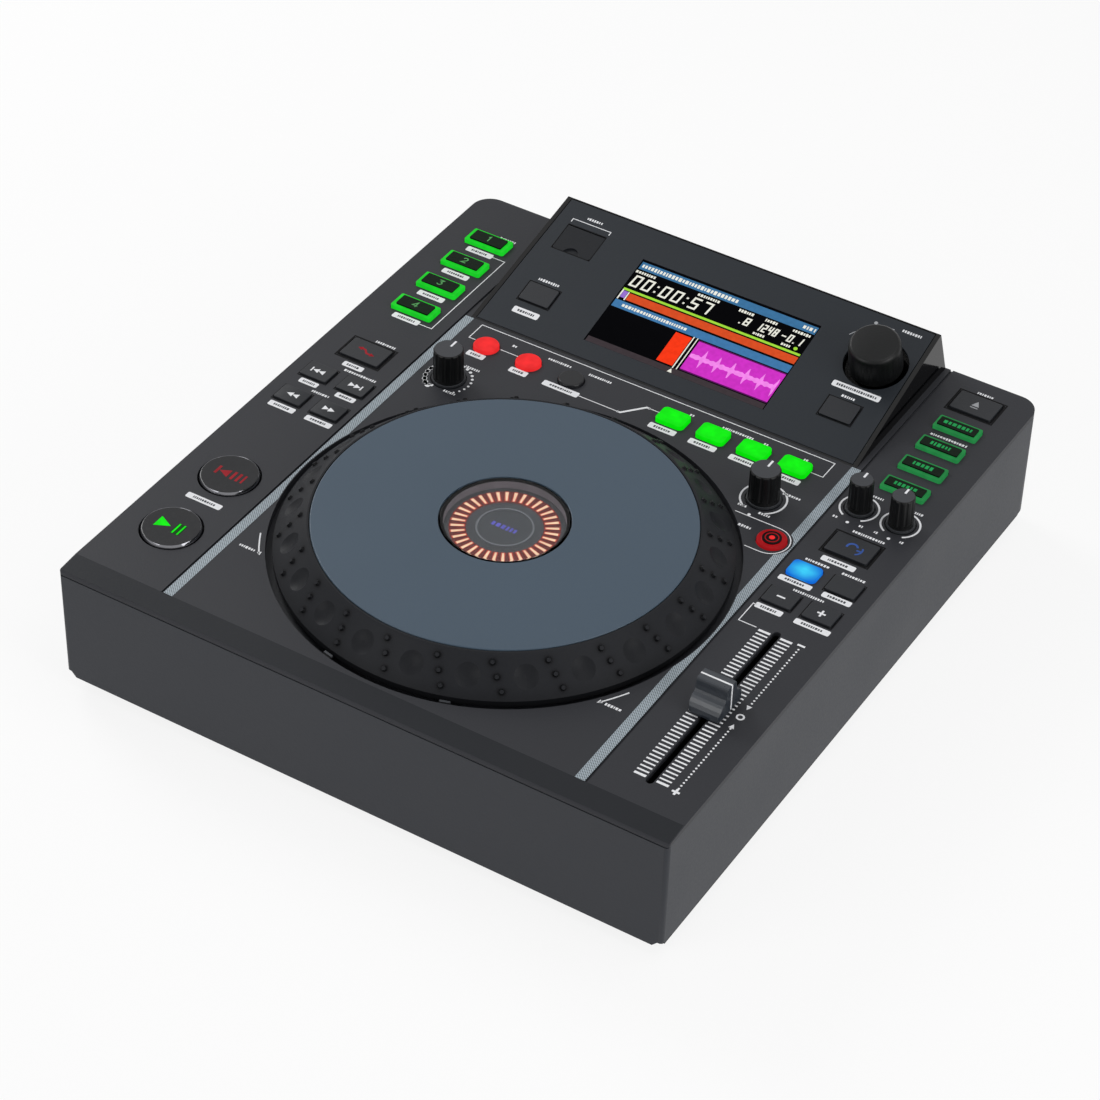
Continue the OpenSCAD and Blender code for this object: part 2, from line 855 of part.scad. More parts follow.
module panel_board() {
    for (s = [-1, 1])
        panel_at([s * (panel_half - 19), 41])
            block(27, 72, -board_top - board_t, -board_top);
    for (p = panel_key_at)
        panel_at(p)
            tact_switch();
    panel_at(browse_at)
        difference() {
            union() {
                block(13, 13, -board_top, -6.5);
                disc(3.9, -7, -3.4);
            }
            disc(shaft_r + fit, -board_top + 1.5, 1);
        }
    panel_at(usb_at)
        difference() {
            block(13.2, 5.8, -board_top, -3);
            block(12.2, 4.8, -board_top + 2, -2);
        }
    for (s = [-1, 1])
        for (v = [8, 76])
            panel_at([s * (panel_half - 9.3), v])
                disc(2, -board_top, -panel_t);
}

// slide pot under the pitch slot: a hollow channel with a slot along its top
module fader_body() {
    color([0.62, 0.63, 0.65])
    translate([fader_x, fader_y, deck_z])
        difference() {
            block(15, fader_len + 16, -deck_t - 9, -deck_t);
            block(13, fader_len + 12, -deck_t - 8, -deck_t - 1);
            block(fader_slot_w, fader_len + 2, -deck_t - 2, 1);
        }
}

// cap with a flat crest and scooped flanks, on a tongue that runs in the slot
module fader_cap() {
    color([0.42, 0.45, 0.48])
    translate([fader_x, fader_y + cap_off, deck_z])
        union() {
            difference() {
                intersection() {
                    translate([-7.4, 0, 0])
                        rotate([90, 0, 90])
                            linear_extrude(14.8)
                                polygon(concat(cap_half(1), cap_half(-1)));
                    bar(14.8, 20.4, 1.8, 0, 16);
                }
                block(11.6, 16, 0, 2.6);
            }
            block(1.6, 6, -deck_t - 6, 3);
            block(9, 8, -deck_t - 7.5, -deck_t - 4.5);
        }
}

// half outline of the cap, front (s = -1) or back (s = 1), listed for a closed loop
function cap_half(s) =
    let (pts = [[10.2, 1.3], [10.2, 2.6], [9.7, 4.3], [8.8, 6], [7.7, 7.5], [6.8, 8.3], [6, 8.5], [5.2, 8.9],
                [4.6, 10.1], [4.1, 12], [3.7, 14], [3.4, 14.9], [2.9, 15.2]])
    s > 0 ? pts : [for (i = [len(pts) - 1:-1:0]) [-pts[i][0], pts[i][1]]];

// ---------------------------------------------------------------- jog wheel

// hollow post bolted under the well: carries the bearings and the display
module jog_post() {
    color([0.66, 0.67, 0.69])
    jog_at()
        difference() {
            union() {
                disc(post_r + 6, -well_d - 3, -well_d - 1.5);
                disc(post_r, -well_d - 3, disp_z);
                disc(post_r + 1.6, bearing_z[0] + bearing_w, bearing_z[1]);
                disc(post_r + 1.6, bearing_z[1] + bearing_w, bearing_z[1] + bearing_w + 0.8);
            }
            disc(post_r - 3, -well_d - 4, disp_z + 1);
            for (a = [30:120:270])
                rotate([0, 0, a])
                    translate([post_r + 3, 0, -well_d - 4])
                        cylinder(r = 0.9, h = 4);
        }
}

module jog_bearings() {
    color([0.75, 0.76, 0.78])
    jog_at()
        for (z = bearing_z)
            difference() {
                disc(bearing_r, z, z + bearing_w);
                disc(post_r, z - 1, z + bearing_w + 1);
                for (s = [-e, bearing_w - 0.8 + e])
                    difference() {
                        disc(bearing_r - 1.6, z + s, z + s + 0.8);
                        disc(post_r + 1.6, z - 1, z + bearing_w + 1);
                    }
            }
}

// wheel shell: web on the bearings, raised flank with dimples and grip studs
module jog_ring() {
    color([0.34, 0.34, 0.35])
    jog_at()
        difference() {
            union() {
                rotate_extrude($fn = 180)
                    polygon([[bearing_r + fit, -3.3], [bearing_r + 3, -3.3], [bearing_r + 3, 4.5],
                             [hub_disp_r + jog_gap + 2.4, 4.5], [hub_disp_r + jog_gap + 2.4, pad_seat - 2.5],
                             [jog_r - 15.1, pad_seat - 2.5], [jog_r - 2.5, 0.2], [jog_r - 2.5, -1.5],
                             [jog_r, -1.5], [jog_r, flank_lo], [jog_r - flank_in, pad_seat - 0.1],
                             [jog_r - flank_in - 1, pad_seat + 0.7], [pad_r + 0.4, pad_seat + 0.7],
                             [pad_r + 0.4, pad_seat], [hub_disp_r + jog_gap, pad_seat],
                             [hub_disp_r + jog_gap, 7], [bearing_r + fit, 7]]);
                for (i = [0:dimples - 1])
                    rotate([0, 0, ring_turn + (i + 0.5) * 360 / dimples])
                        for (j = [-1:1])
                            rotate([0, 0, 1.3 * j])
                                flank_at(jog_r - 7.4 + 4.5 * j)
                                    translate([0, 0, -0.4])
                                        cylinder(r1 = 1.5, r2 = 0.9, h = 1.5, $fn = 20);
            }
            for (i = [0:dimples - 1])
                rotate([0, 0, ring_turn + i * 360 / dimples])
                    flank_at(jog_r - 7.4)
                        translate([0, 0, dimple_ball - dimple_depth])
                            sphere(r = dimple_ball, $fn = 48);
        }
}

// local frame on the flank at radius r, Z out of the surface
module flank_at(r)
    translate([r, 0, flank_lo + (jog_r - r) * tan(flank_ang)])
        rotate([0, flank_ang, 0])
            children();

module jog_pad() {
    color([0.32, 0.38, 0.42])
    jog_at()
        difference() {
            union() {
                disc(pad_r, pad_seat, pad_h - 0.3);
                translate([0, 0, pad_h - 0.3])
                    cylinder(r1 = pad_r, r2 = pad_r - 0.3, h = 0.3);
            }
            disc(hub_disp_r + jog_gap + 0.2, pad_seat - 1, pad_h + 1);
        }
}

// lamp board in a cup, with a ring of light bars
module jog_display() {
    color([0.08, 0.08, 0.09])
    jog_at()
        union() {
            disc(hub_disp_r, disp_z, disp_z + 2);
            difference() {
                disc(hub_disp_r, disp_z, pad_h - 1.2);
                disc(hub_disp_r - 1.4, disp_z - 1, pad_h);
            }
            for (a = [0:10:350])
                rotate([0, 0, a])
                    translate([17.3, -0.9, disp_z + 1.5])
                        cube([6.7, 1.8, 0.9]);
            difference() {
                disc(12.8, disp_z + 1, disp_z + 2.3);
                disc(12, disp_z + 1, disp_z + 3);
            }
        }
}

module jog_lens() {
    color([0.75, 0.80, 0.82])
    jog_at() {
        disc(hub_disp_r, pad_h - 1.2, pad_h);
        translate([0, 0, pad_h])
            cylinder(r1 = hub_disp_r, r2 = hub_disp_r - 0.3, h = 0.2);
    }
}

// ---------------------------------------------------------------- keys

module hot_cue(i)
    color([0.10, 0.75, 0.20])
        deck_at(hot_at[i])
            label_key(hot_size, hot_top);

module source_key(i)
    color([0.25, 0.70, 0.42])
        deck_at(source_at[i])
            label_key(source_size, source_top);

module loop_key(i)
    color([0.15, 0.95, 0.25])
        deck_at(loop_at[i])
            square_key(loop_size[0], loop_size[1], loop_size[2], soft_r, loop_size[0] + 2 * key_gap,
                       loop_size[1] + 2 * key_gap);

module grey_key(p)
    color([0.30, 0.31, 0.32])
        deck_at(p)
            small_key(crisp_r);

module framed_key(i)
    color([0.32, 0.32, 0.33])
        deck_at(frame_at[i])
            frame_key();

module effect_key(i, c)
    color(c)
        deck_at(effect_at[i])
            round_key(round_r, 1.6, 0.5);

module transport_key(i)
    color([0.33, 0.34, 0.35])
        deck_at(big_at[i])
            union() {
                disc(big_r, -flange_top - flange_t, 0);
                cylinder(r1 = big_r, r2 = big_r - 0.8, h = big_h);
                disc(big_r + 1.6, -flange_top - flange_t, -flange_top);
                disc(1.5, -stem_end, -flange_top);
            }

module panel_key(i)
    color([0.30, 0.31, 0.33])
        panel_at(panel_key_at[i])
            square_key(panel_key_size[0], panel_key_size[1], panel_key_size[2], crisp_r,
                       panel_key_size[0] + 2 * key_gap, panel_key_size[1] + 2 * key_gap);

module hot_cue_1() hot_cue(0);
module hot_cue_2() hot_cue(1);
module hot_cue_3() hot_cue(2);
module hot_cue_4() hot_cue(3);
module direction_key() framed_key(0);
module track_back_key() grey_key(search_at[0]);
module track_next_key() grey_key(search_at[1]);
module search_back_key() grey_key(search_at[2]);
module search_next_key() grey_key(search_at[3]);
module cue_key() transport_key(0);
module play_key() transport_key(1);
module effect_key_1() effect_key(0, [0.95, 0.30, 0.30]);
module effect_key_2() effect_key(1, [0.95, 0.30, 0.30]);
module effect_key_3() effect_key(2, [0.30, 0.31, 0.32]);
module loop_key_1() loop_key(0);
module loop_key_2() loop_key(1);
module loop_key_3() loop_key(2);
module loop_key_4() loop_key(3);
module eject_key() framed_key(1);
module source_key_1() source_key(0);
module source_key_2() source_key(1);
module source_key_3() source_key(2);
module source_key_4() source_key(3);
module jog_mode_key() framed_key(2);
module tempo_tap_key() grey_key(pitch_at[1]);
module pitch_down_key() grey_key(pitch_at[2]);
module pitch_up_key() grey_key(pitch_at[3]);
module time_key() panel_key(0);
module back_key() panel_key(1);

module key_lock_key()
    color([0.10, 0.65, 0.95])
        deck_at(pitch_at[0])
            small_key(soft_r);

// lit ring with a raised dark centre
module slip_key()
    color([0.85, 0.20, 0.20])
        deck_at(slip_at)
            union() {
                round_key(slip_r, 1, 0.3);
                disc(4.4, 0, 1.7);
            }

// ---------------------------------------------------------------- knobs

module wheel_feel_knob()
    color([0.10, 0.11, 0.12])
        deck_at(large_pot_at[0])
            pot_knob(large_knob);

module filter_knob()
    color([0.10, 0.11, 0.12])
        deck_at(large_pot_at[1])
            pot_knob(large_knob);

module tone_knob()
    color([0.10, 0.11, 0.12])
        deck_at(small_pot_at[0])
            pot_knob(small_knob);

module tempo_range_knob()
    color([0.10, 0.11, 0.12])
        deck_at(small_pot_at[1])
            pot_knob(small_knob);

// browse knob: turned cap with a rounded crown, on its encoder shaft
module browse_knob()
    color([0.16, 0.17, 0.18])
        panel_at(browse_at)
            union() {
                rotate_extrude()
                    polygon([[0, -1.4], [browse_r, -1.4], [browse_r - 0.4, 12.6], [browse_r - 0.8, 14],
                             [browse_r - 1.8, 14.9], [0, 15.2]]);
                disc(shaft_r, -board_top + 2.8, -1);
            }

base_plate();
lower_case();
top_cover();
display_housing();
display_panel();
display_glass();
lcd_module();
trim_strips();
rear_jacks();
power_inlet();
power_switch();
main_board();
control_boards();
fader_body();
jog_post();
jog_bearings();
jog_display();
jog_lens();
feet();
screws();
jog_ring();
jog_pad();
hot_cue_1();
hot_cue_2();
hot_cue_3();
hot_cue_4();
direction_key();
track_back_key();
track_next_key();
search_back_key();
search_next_key();
cue_key();
play_key();
effect_key_1();
effect_key_2();
effect_key_3();
loop_key_1();
loop_key_2();
loop_key_3();
loop_key_4();
slip_key();
eject_key();
source_key_1();
source_key_2();
source_key_3();
source_key_4();
jog_mode_key();
key_lock_key();
tempo_tap_key();
pitch_down_key();
pitch_up_key();
time_key();
back_key();
wheel_feel_knob();
filter_knob();
tone_knob();
tempo_range_knob();
browse_knob();
fader_cap();
usb_cover();
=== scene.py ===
"""Looks of a tabletop DJ media player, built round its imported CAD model. Metres, +X right, +Y back, +Z up."""

import json
import math
import random

import bmesh
import bpy
from mathutils import Matrix, Vector


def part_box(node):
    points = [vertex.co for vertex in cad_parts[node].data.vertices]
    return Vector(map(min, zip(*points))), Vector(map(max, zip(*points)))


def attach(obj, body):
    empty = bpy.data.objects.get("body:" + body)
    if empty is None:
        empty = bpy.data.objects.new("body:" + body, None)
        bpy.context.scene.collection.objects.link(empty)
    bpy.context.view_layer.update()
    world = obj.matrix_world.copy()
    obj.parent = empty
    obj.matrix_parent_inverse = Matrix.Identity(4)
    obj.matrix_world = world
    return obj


MM = 0.001
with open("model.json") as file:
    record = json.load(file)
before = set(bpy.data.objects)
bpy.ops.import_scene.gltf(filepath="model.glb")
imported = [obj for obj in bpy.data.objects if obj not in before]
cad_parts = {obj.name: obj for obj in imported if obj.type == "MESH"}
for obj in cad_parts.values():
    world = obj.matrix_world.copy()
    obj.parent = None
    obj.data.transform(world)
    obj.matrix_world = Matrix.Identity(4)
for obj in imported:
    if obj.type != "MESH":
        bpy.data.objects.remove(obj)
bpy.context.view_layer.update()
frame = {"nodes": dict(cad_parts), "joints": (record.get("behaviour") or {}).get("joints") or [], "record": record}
nodes = frame["nodes"]
joints = {j["name"]: j for j in frame["joints"]}

# ---------------------------------------------------------------- places taken from the frame

DECK_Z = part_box("top_cover")[1].z
JOG = Vector(joints["jog_spin"]["pos_m"])
BROWSE = Vector(joints["browse_turn"]["pos_m"])
PANEL_UP = Vector(joints["browse_turn"]["axis"])
TILT = math.atan2(-PANEL_UP.y, PANEL_UP.z)
BROWSE_V = 57.6
PANEL_ORIGIN = Vector((0, BROWSE.y, BROWSE.z)) - Matrix.Rotation(TILT, 3, "X") @ Vector((0, BROWSE_V * MM, 0))
DECK = Matrix.Translation((0, 0, DECK_Z)) @ Matrix.Scale(MM, 4)
PANEL = Matrix.Translation(PANEL_ORIGIN) @ Matrix.Rotation(TILT, 4, "X") @ Matrix.Scale(MM, 4)
WHEEL = Matrix.Translation((0, JOG.y, DECK_Z)) @ Matrix.Scale(MM, 4)
JOG_Y = JOG.y / MM


def centre(node):
    """Middle of a node's box, in millimetres."""
    low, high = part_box(node)
    return (low + high) / 2 / MM


def key_frame(node):
    """Millimetre frame in the middle of a piece of the deck, with Z = 0 on its top face."""
    low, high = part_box(node)
    mid = (low + high) / 2
    return Matrix.Translation((mid.x, mid.y, high.z)) @ Matrix.Scale(MM, 4)


# ---------------------------------------------------------------- materials

BROAD_SCALE = 14            # scale of the broad noise that every grain shares
GRAIN_RANGE = (0.3, 0.7)    # part of the noise that spans the whole change of tone
GRAIN_HEIGHT = 0.0002       # height of the grain, in metres
HOLLOW_REACH = 0.012        # how far round a point its shade is gathered, in metres


def linear(r, g, b):
    """Linear colour of an 8-bit screen colour."""
    out = []
    for c in (r, g, b):
        c = c / 255
        out.append(c / 12.92 if c <= 0.04045 else ((c + 0.055) / 1.055) ** 2.4)
    return (*out, 1.0)


def new_material(name):
    m = bpy.data.materials.new(name)
    m.use_nodes = True
    return m, m.node_tree.nodes, m.node_tree.links, m.node_tree.nodes["Principled BSDF"]


def noise(tree_nodes, links, coords, scale, detail):
    texture = tree_nodes.new("ShaderNodeTexNoise")
    texture.inputs["Scale"].default_value = scale
    texture.inputs["Detail"].default_value = detail
    links.new(coords.outputs["Object"], texture.inputs["Vector"])
    return texture


def two_tones(tree_nodes, low, high, dark, pale):
    """Colour ramp from a dark tone at "low" to a pale one at "high"."""
    ramp = tree_nodes.new("ShaderNodeValToRGB")
    for stop, place, tone in zip(ramp.color_ramp.elements, (low, high), (dark, pale)):
        stop.position = place
        stop.color = [*tone, 1]
    return ramp


def remap(tree_nodes, links, value, low, high, to_low, to_high):
    """Map Range node: "low" to "high" becomes "to_low" to "to_high"."""
    level = tree_nodes.new("ShaderNodeMapRange")
    level.inputs["From Min"].default_value = low
    level.inputs["From Max"].default_value = high
    level.inputs["To Min"].default_value = to_low
    level.inputs["To Max"].default_value = to_high
    links.new(value, level.inputs["Value"])
    return level.outputs["Result"]


def add_grain(tree_nodes, links, shader, colour, spread, scale, bump, rough, rough_spread):
    """Object-space grain: two noises that vary colour, roughness and height."""
    coords = tree_nodes.new("ShaderNodeTexCoord")
    fine = noise(tree_nodes, links, coords, scale, 4)
    broad = noise(tree_nodes, links, coords, BROAD_SCALE, 3)
    mixed = tree_nodes.new("ShaderNodeMath")
    mixed.operation = "MULTIPLY_ADD"
    mixed.inputs[1].default_value = 0.5
    links.new(fine.outputs["Fac"], mixed.inputs[0])
    half = tree_nodes.new("ShaderNodeMath")
    half.operation = "MULTIPLY"
    half.inputs[1].default_value = 0.5
    links.new(broad.outputs["Fac"], half.inputs[0])
    links.new(half.outputs[0], mixed.inputs[2])
    ramp = two_tones(tree_nodes, *GRAIN_RANGE, [c * (1 - spread) for c in colour[:3]],
                     [c * (1 + spread) for c in colour[:3]])
    links.new(mixed.outputs[0], ramp.inputs["Fac"])
    links.new(ramp.outputs["Color"], shader.inputs["Base Color"])
    level = remap(tree_nodes, links, mixed.outputs[0], *GRAIN_RANGE, max(rough - rough_spread, 0.02),
                  min(rough + rough_spread, 1))
    links.new(level, shader.inputs["Roughness"])
    height = tree_nodes.new("ShaderNodeBump")
    height.inputs["Strength"].default_value = bump
    height.inputs["Distance"].default_value = GRAIN_HEIGHT
    links.new(fine.outputs["Fac"], height.inputs["Height"])
    links.new(height.outputs["Normal"], shader.inputs["Normal"])


def plastic(name, rgb, rough=0.5, scale=900, bump=0.25, spread=0.06, coat=0.0, rough_spread=0.06,
            sheen=0.25):
    m, n, links, shader = new_material(name)
    add_grain(n, links, shader, linear(*rgb), spread, scale, bump, rough, rough_spread)
    shader.inputs["Specular IOR Level"].default_value = sheen
    shader.inputs["Coat Weight"].default_value = coat
    shader.inputs["Coat Roughness"].default_value = 0.12
    return m


def with_painted_hollow_shade(m):
    """Paints shade into the base colour in the dimples and round the studs of a moulding."""
    n, links = m.node_tree.nodes, m.node_tree.links
    shader = n["Principled BSDF"]
    shade = n.new("ShaderNodeAmbientOcclusion")
    shade.inputs["Distance"].default_value = HOLLOW_REACH
    shade.samples = 12
    contrast = remap(n, links, shade.outputs["AO"], 0.86, 0.99, 0.35, 1)
    deep = n.new("ShaderNodeMixRGB")
    deep.blend_type = "MULTIPLY"
    deep.inputs["Fac"].default_value = 1
    links.new(shader.inputs["Base Color"].links[0].from_socket, deep.inputs["Color1"])
    links.new(contrast, deep.inputs["Color2"])
    links.new(deep.outputs["Color"], shader.inputs["Base Color"])
    return m


def metal(name, rgb, rough=0.3, scale=700, bump=0.1, spread=0.05):
    m, n, links, shader = new_material(name)
    add_grain(n, links, shader, linear(*rgb), spread, scale, bump, rough, 0.06)
    shader.inputs["Metallic"].default_value = 1
    return m


def lit(name, rgb, strength=0.9, rough=0.35, spread=0.1, scale=220, middle=0.0, edge=None):
    """Translucent moulding with a lamp behind it. The glow varies softly, and may turn to the edge's tone."""
    m, n, links, shader = new_material(name)
    colour = linear(*rgb)
    add_grain(n, links, shader, [c * 0.1 for c in colour[:3]], 0.1, 500, 0.1, rough, 0.05)
    shader.inputs["Specular IOR Level"].default_value = 0.05
    coords = n.new("ShaderNodeTexCoord")
    cloud = noise(n, links, coords, scale, 1)
    ramp = two_tones(n, 0.35, 0.65, [c * (1 - spread) for c in colour[:3]],
                     [min(c * (1 + spread), 1) for c in colour[:3]])
    links.new(cloud.outputs["Fac"], ramp.inputs["Fac"])
    glow = ramp.outputs["Color"]
    if middle:
        place = n.new("ShaderNodeMapping")
        place.inputs["Location"].default_value = (-0.5, -0.5, 0)
        place.inputs["Scale"].default_value = (1, 1, 0)
        links.new(coords.outputs["Generated"], place.inputs["Vector"])
        bulb = n.new("ShaderNodeTexGradient")
        bulb.gradient_type = "SPHERICAL"
        links.new(place.outputs["Vector"], bulb.inputs["Vector"])
        blend = n.new("ShaderNodeMixRGB")
        blend.inputs["Color2"].default_value = linear(*edge) if edge else [c * 0.4 for c in colour[:3]] + [1]
        links.new(remap(n, links, bulb.outputs["Fac"], 0.5, 0.92, middle, 0), blend.inputs["Fac"])
        links.new(glow, blend.inputs["Color1"])
        glow = blend.outputs["Color"]
    links.new(glow, shader.inputs["Emission Color"])
    shader.inputs["Emission Strength"].default_value = strength
    return m


def clear(name):
    m, n, links, shader = new_material(name)
    add_grain(n, links, shader, (0.9, 0.93, 0.95), 0.02, 300, 0.02, 0.05, 0.03)
    shader.inputs["Transmission Weight"].default_value = 1
    shader.inputs["IOR"].default_value = 1.22
    return m


def meshed(name, rgb, dark, pitch):
    """Painted strip with a fine diagonal mesh of dark dots, pitch in millimetres."""
    m, n, links, shader = new_material(name)
    add_grain(n, links, shader, linear(*rgb), 0.05, 1600, 0.1, 0.4, 0.06)
    shader.inputs["Specular IOR Level"].default_value = 0.3
    coords = n.new("ShaderNodeTexCoord")
    turn = n.new("ShaderNodeMapping")
    turn.inputs["Rotation"].default_value = (0, 0, math.radians(45))
    turn.inputs["Scale"].default_value = (1, 1, 0)
    links.new(coords.outputs["Object"], turn.inputs["Vector"])
    dots = n.new("ShaderNodeTexVoronoi")
    dots.inputs["Scale"].default_value = 1 / (pitch * MM)
    dots.inputs["Randomness"].default_value = 0
    links.new(turn.outputs["Vector"], dots.inputs["Vector"])
    mix = n.new("ShaderNodeMixRGB")
    mix.inputs["Color2"].default_value = linear(*dark)
    links.new(remap(n, links, dots.outputs["Distance"], 0.3, 0.42, 1, 0), mix.inputs["Fac"])
    links.new(shader.inputs["Base Color"].links[0].from_socket, mix.inputs["Color1"])
    links.new(mix.outputs["Color"], shader.inputs["Base Color"])
    return m


M = {
    "case": plastic("case_grain", (48, 50, 55), rough=0.5),
    "deck": plastic("deck_grain", (44, 45, 49), rough=0.5, sheen=0.17),
    # darker tone of the sloping front band: painted shade
    "band": plastic("front_band_painted_shade", (27, 29, 33), rough=0.55, sheen=0.15),
    "panel": plastic("panel_grain", (34, 38, 43), rough=0.5, sheen=0.17),
    "hood": plastic("hood_gloss", (5, 5, 6), rough=0.1, scale=500, bump=0.03, sheen=0.3, rough_spread=0.03),
    "port": plastic("port_cover", (21, 23, 27), rough=0.5, sheen=0.15),
    "steel_black": plastic("powder_coat", (21, 21, 23), rough=0.6, scale=1400, bump=0.5),
    "black": plastic("black_moulding", (12, 12, 14), rough=0.4, scale=1100, bump=0.2),
    # painted shadow: this black stands for shade in gaps, slots and round keys
    "gap": plastic("shadow_black", (6, 6, 7), rough=0.7, scale=800, bump=0.2, sheen=0.1),
    "silver": meshed("silver_mesh", (170, 182, 190), (80, 86, 91), 0.9),
    "steel": metal("bare_steel", (190, 190, 194), rough=0.32),
    "gilt": metal("plated_socket", (214, 190, 130), rough=0.28),
    "board": plastic("circuit_board", (22, 74, 44), rough=0.4, scale=300, spread=0.2, coat=0.4),
    "glass": plastic("screen_glass", (1, 1, 3), rough=0.2, scale=200, bump=0.02, sheen=0.02),
    "cup": plastic("display_cup", (54, 55, 58), rough=0.4, scale=500, bump=0.05),
    "lens": clear("clear_disc"),
    "foot": plastic("foot_rubber", (22, 22, 22), rough=0.8, scale=600, bump=0.5),
    # the wheel's base colour carries painted shade in its dimples and round its studs
    "wheel": with_painted_hollow_shade(plastic("wheel_moulding", (36, 37, 40), rough=0.42, scale=700, bump=0.12, sheen=0.07)),
    "pad": plastic("wheel_pad", (66, 81, 95), rough=0.36, scale=900, bump=0.06, spread=0.03, rough_spread=0.03),
    "key": plastic("key_rubber", (29, 31, 35), rough=0.5, scale=1000),
    "key_clear": plastic("key_clear_cap", (24, 25, 28), rough=0.2, scale=600, bump=0.04, coat=0.1, sheen=0.2),
    "bright": metal("bright_bevel", (120, 120, 124), rough=0.1, bump=0.02),
    "knob": plastic("knob_black", (8, 9, 10), rough=0.42, scale=900, sheen=0.2),
    # grey of the knob crowns; on the collars it is a painted highlight
    "knob_top_and_collar_highlight": plastic("knob_top_and_collar_highlight", (52, 54, 58), rough=0.42, scale=900),
    "cap": plastic("fader_cap", (41, 46, 53), rough=0.3, scale=700, bump=0.08, sheen=0.5),
    "print": plastic("white_print", (234, 235, 238), rough=0.55, scale=1200, bump=0.1, spread=0.03),
    "print_dim": plastic("grey_print", (160, 162, 166), rough=0.55, scale=1200, bump=0.1, spread=0.03),
    "cup_line": plastic("display_line", (106, 106, 110), rough=0.5, scale=900, bump=0.1),
    "print_dark": plastic("dark_print", (62, 64, 68), rough=0.6, scale=1200, bump=0.1, spread=0.03),
    "label_red": plastic("label_dark_red", (14, 4, 5), rough=0.3, scale=500, spread=0.2, sheen=0.06),
    "label": plastic("label_dark", (7, 24, 10), rough=0.3, scale=500, spread=0.2, sheen=0.06),
    "green": lit("lit_green", (26, 205, 40)),
    "green_hot": lit("lit_green_bright", (6, 250, 10), middle=0.3),
    "mint": lit("lit_mint", (36, 128, 66)),
    "mint_text": lit("lit_mint_text", (32, 150, 78)),
    "red": lit("lit_red", (250, 46, 48), middle=0.25),
    "red_dim": lit("lit_red_dim", (168, 20, 26), middle=0.4),
    "blue": lit("lit_blue", (60, 206, 255), middle=1.0, edge=(8, 96, 214)),
    # painted light: the cup wall glows in place of the light that falls on it
    "cup_painted_light": lit("cup_wall_painted_light", (84, 76, 80)),
    "green_dim": lit("lit_green_dim", (10, 62, 14)),
    "blue_dim": lit("lit_blue_dim", (56, 84, 150)),
    "violet_dim": lit("lit_violet", (96, 92, 190)),
    "rose": lit("lit_rose", (146, 34, 42)),
    "pale_green": lit("lit_pale_green", (88, 156, 92)),
    "white_led": lit("lit_white", (255, 214, 176)),
    "amber_led": lit("lit_amber", (206, 70, 50)),
    "halo_led": lit("lit_halo", (104, 40, 38)),
}
SCREEN_COLOURS = {
    "bar_blue": (58, 112, 156), "bar_pale": (62, 118, 168), "line_lime": (160, 220, 60),
    "orange": (214, 76, 32), "violet": (150, 110, 205), "ink": (238, 238, 226), "flame": (246, 54, 14),
    "magenta": (206, 48, 196), "pink": (244, 136, 236), "soot": (58, 50, 54), "plum": (90, 12, 90),
}
for tone, rgb in SCREEN_COLOURS.items():
    M[tone] = lit("screen_" + tone, rgb, spread=0.06, scale=500)


# ---------------------------------------------------------------- flat outlines, in millimetres

def rect(cx, cy, w, h):
    x0, x1, y0, y1 = cx - w / 2, cx + w / 2, cy - h / 2, cy + h / 2
    return [(x0, y0), (x1, y0), (x1, y1), (x0, y1)]


def rounded(cx, cy, w, h, r, steps=5):
    out = []
    for k, (sx, sy) in enumerate(((1, -1), (1, 1), (-1, 1), (-1, -1))):
        for i in range(steps + 1):
            a = math.radians(-90 + 90 * k + 90 * i / steps)
            out.append((cx + sx * (w / 2 - r) + r * math.cos(a), cy + sy * (h / 2 - r) + r * math.sin(a)))
    return out


def pill(cx, cy, w, h):
    return rounded(cx, cy, w, h, 0.8)


def disc(cx, cy, r, steps=32):
    return [(cx + r * math.cos(2 * math.pi * i / steps), cy + r * math.sin(2 * math.pi * i / steps))
            for i in range(steps)]


def arc(cx, cy, r, width, start, end, steps=40):
    """Band along a circle, from one angle to another, in degrees."""
    def side(radius, order):
        return [(cx + radius * math.cos(math.radians(start + (end - start) * i / steps)),
                 cy + radius * math.sin(math.radians(start + (end - start) * i / steps))) for i in order]
    return side(r + width / 2, range(steps + 1)) + side(r - width / 2, range(steps, -1, -1))


def hoop(r, width):
    """Full circle as two half bands, since a prism has no hole."""
    return arc(0, 0, r, width, 0, 180), arc(0, 0, r, width, 180, 360)


def line(points, width):
    """Band of constant width along a path, with mitred corners."""
    left, right = [], []
    for i, p in enumerate(points):
        p = Vector(p)
        dirs = []
        if i > 0:
            dirs.append((p - Vector(points[i - 1])).normalized())
        if i < len(points) - 1:
            dirs.append((Vector(points[i + 1]) - p).normalized())
        mean = sum(dirs, Vector((0, 0))).normalized()
        normal = Vector((-mean.y, mean.x))
        reach = width / 2 / max(mean.dot(dirs[0]), 0.3)
        left.append(tuple(p + normal * reach))
        right.append(tuple(p - normal * reach))
    return right + left[::-1]


def moved(outline, dx, dy, turn=0.0, scale=1.0):
    c, s = math.cos(math.radians(turn)) * scale, math.sin(math.radians(turn)) * scale
    return [(dx + x * c - y * s, dy + x * s + y * c) for x, y in outline]


# ---------------------------------------------------------------- thin printed layers

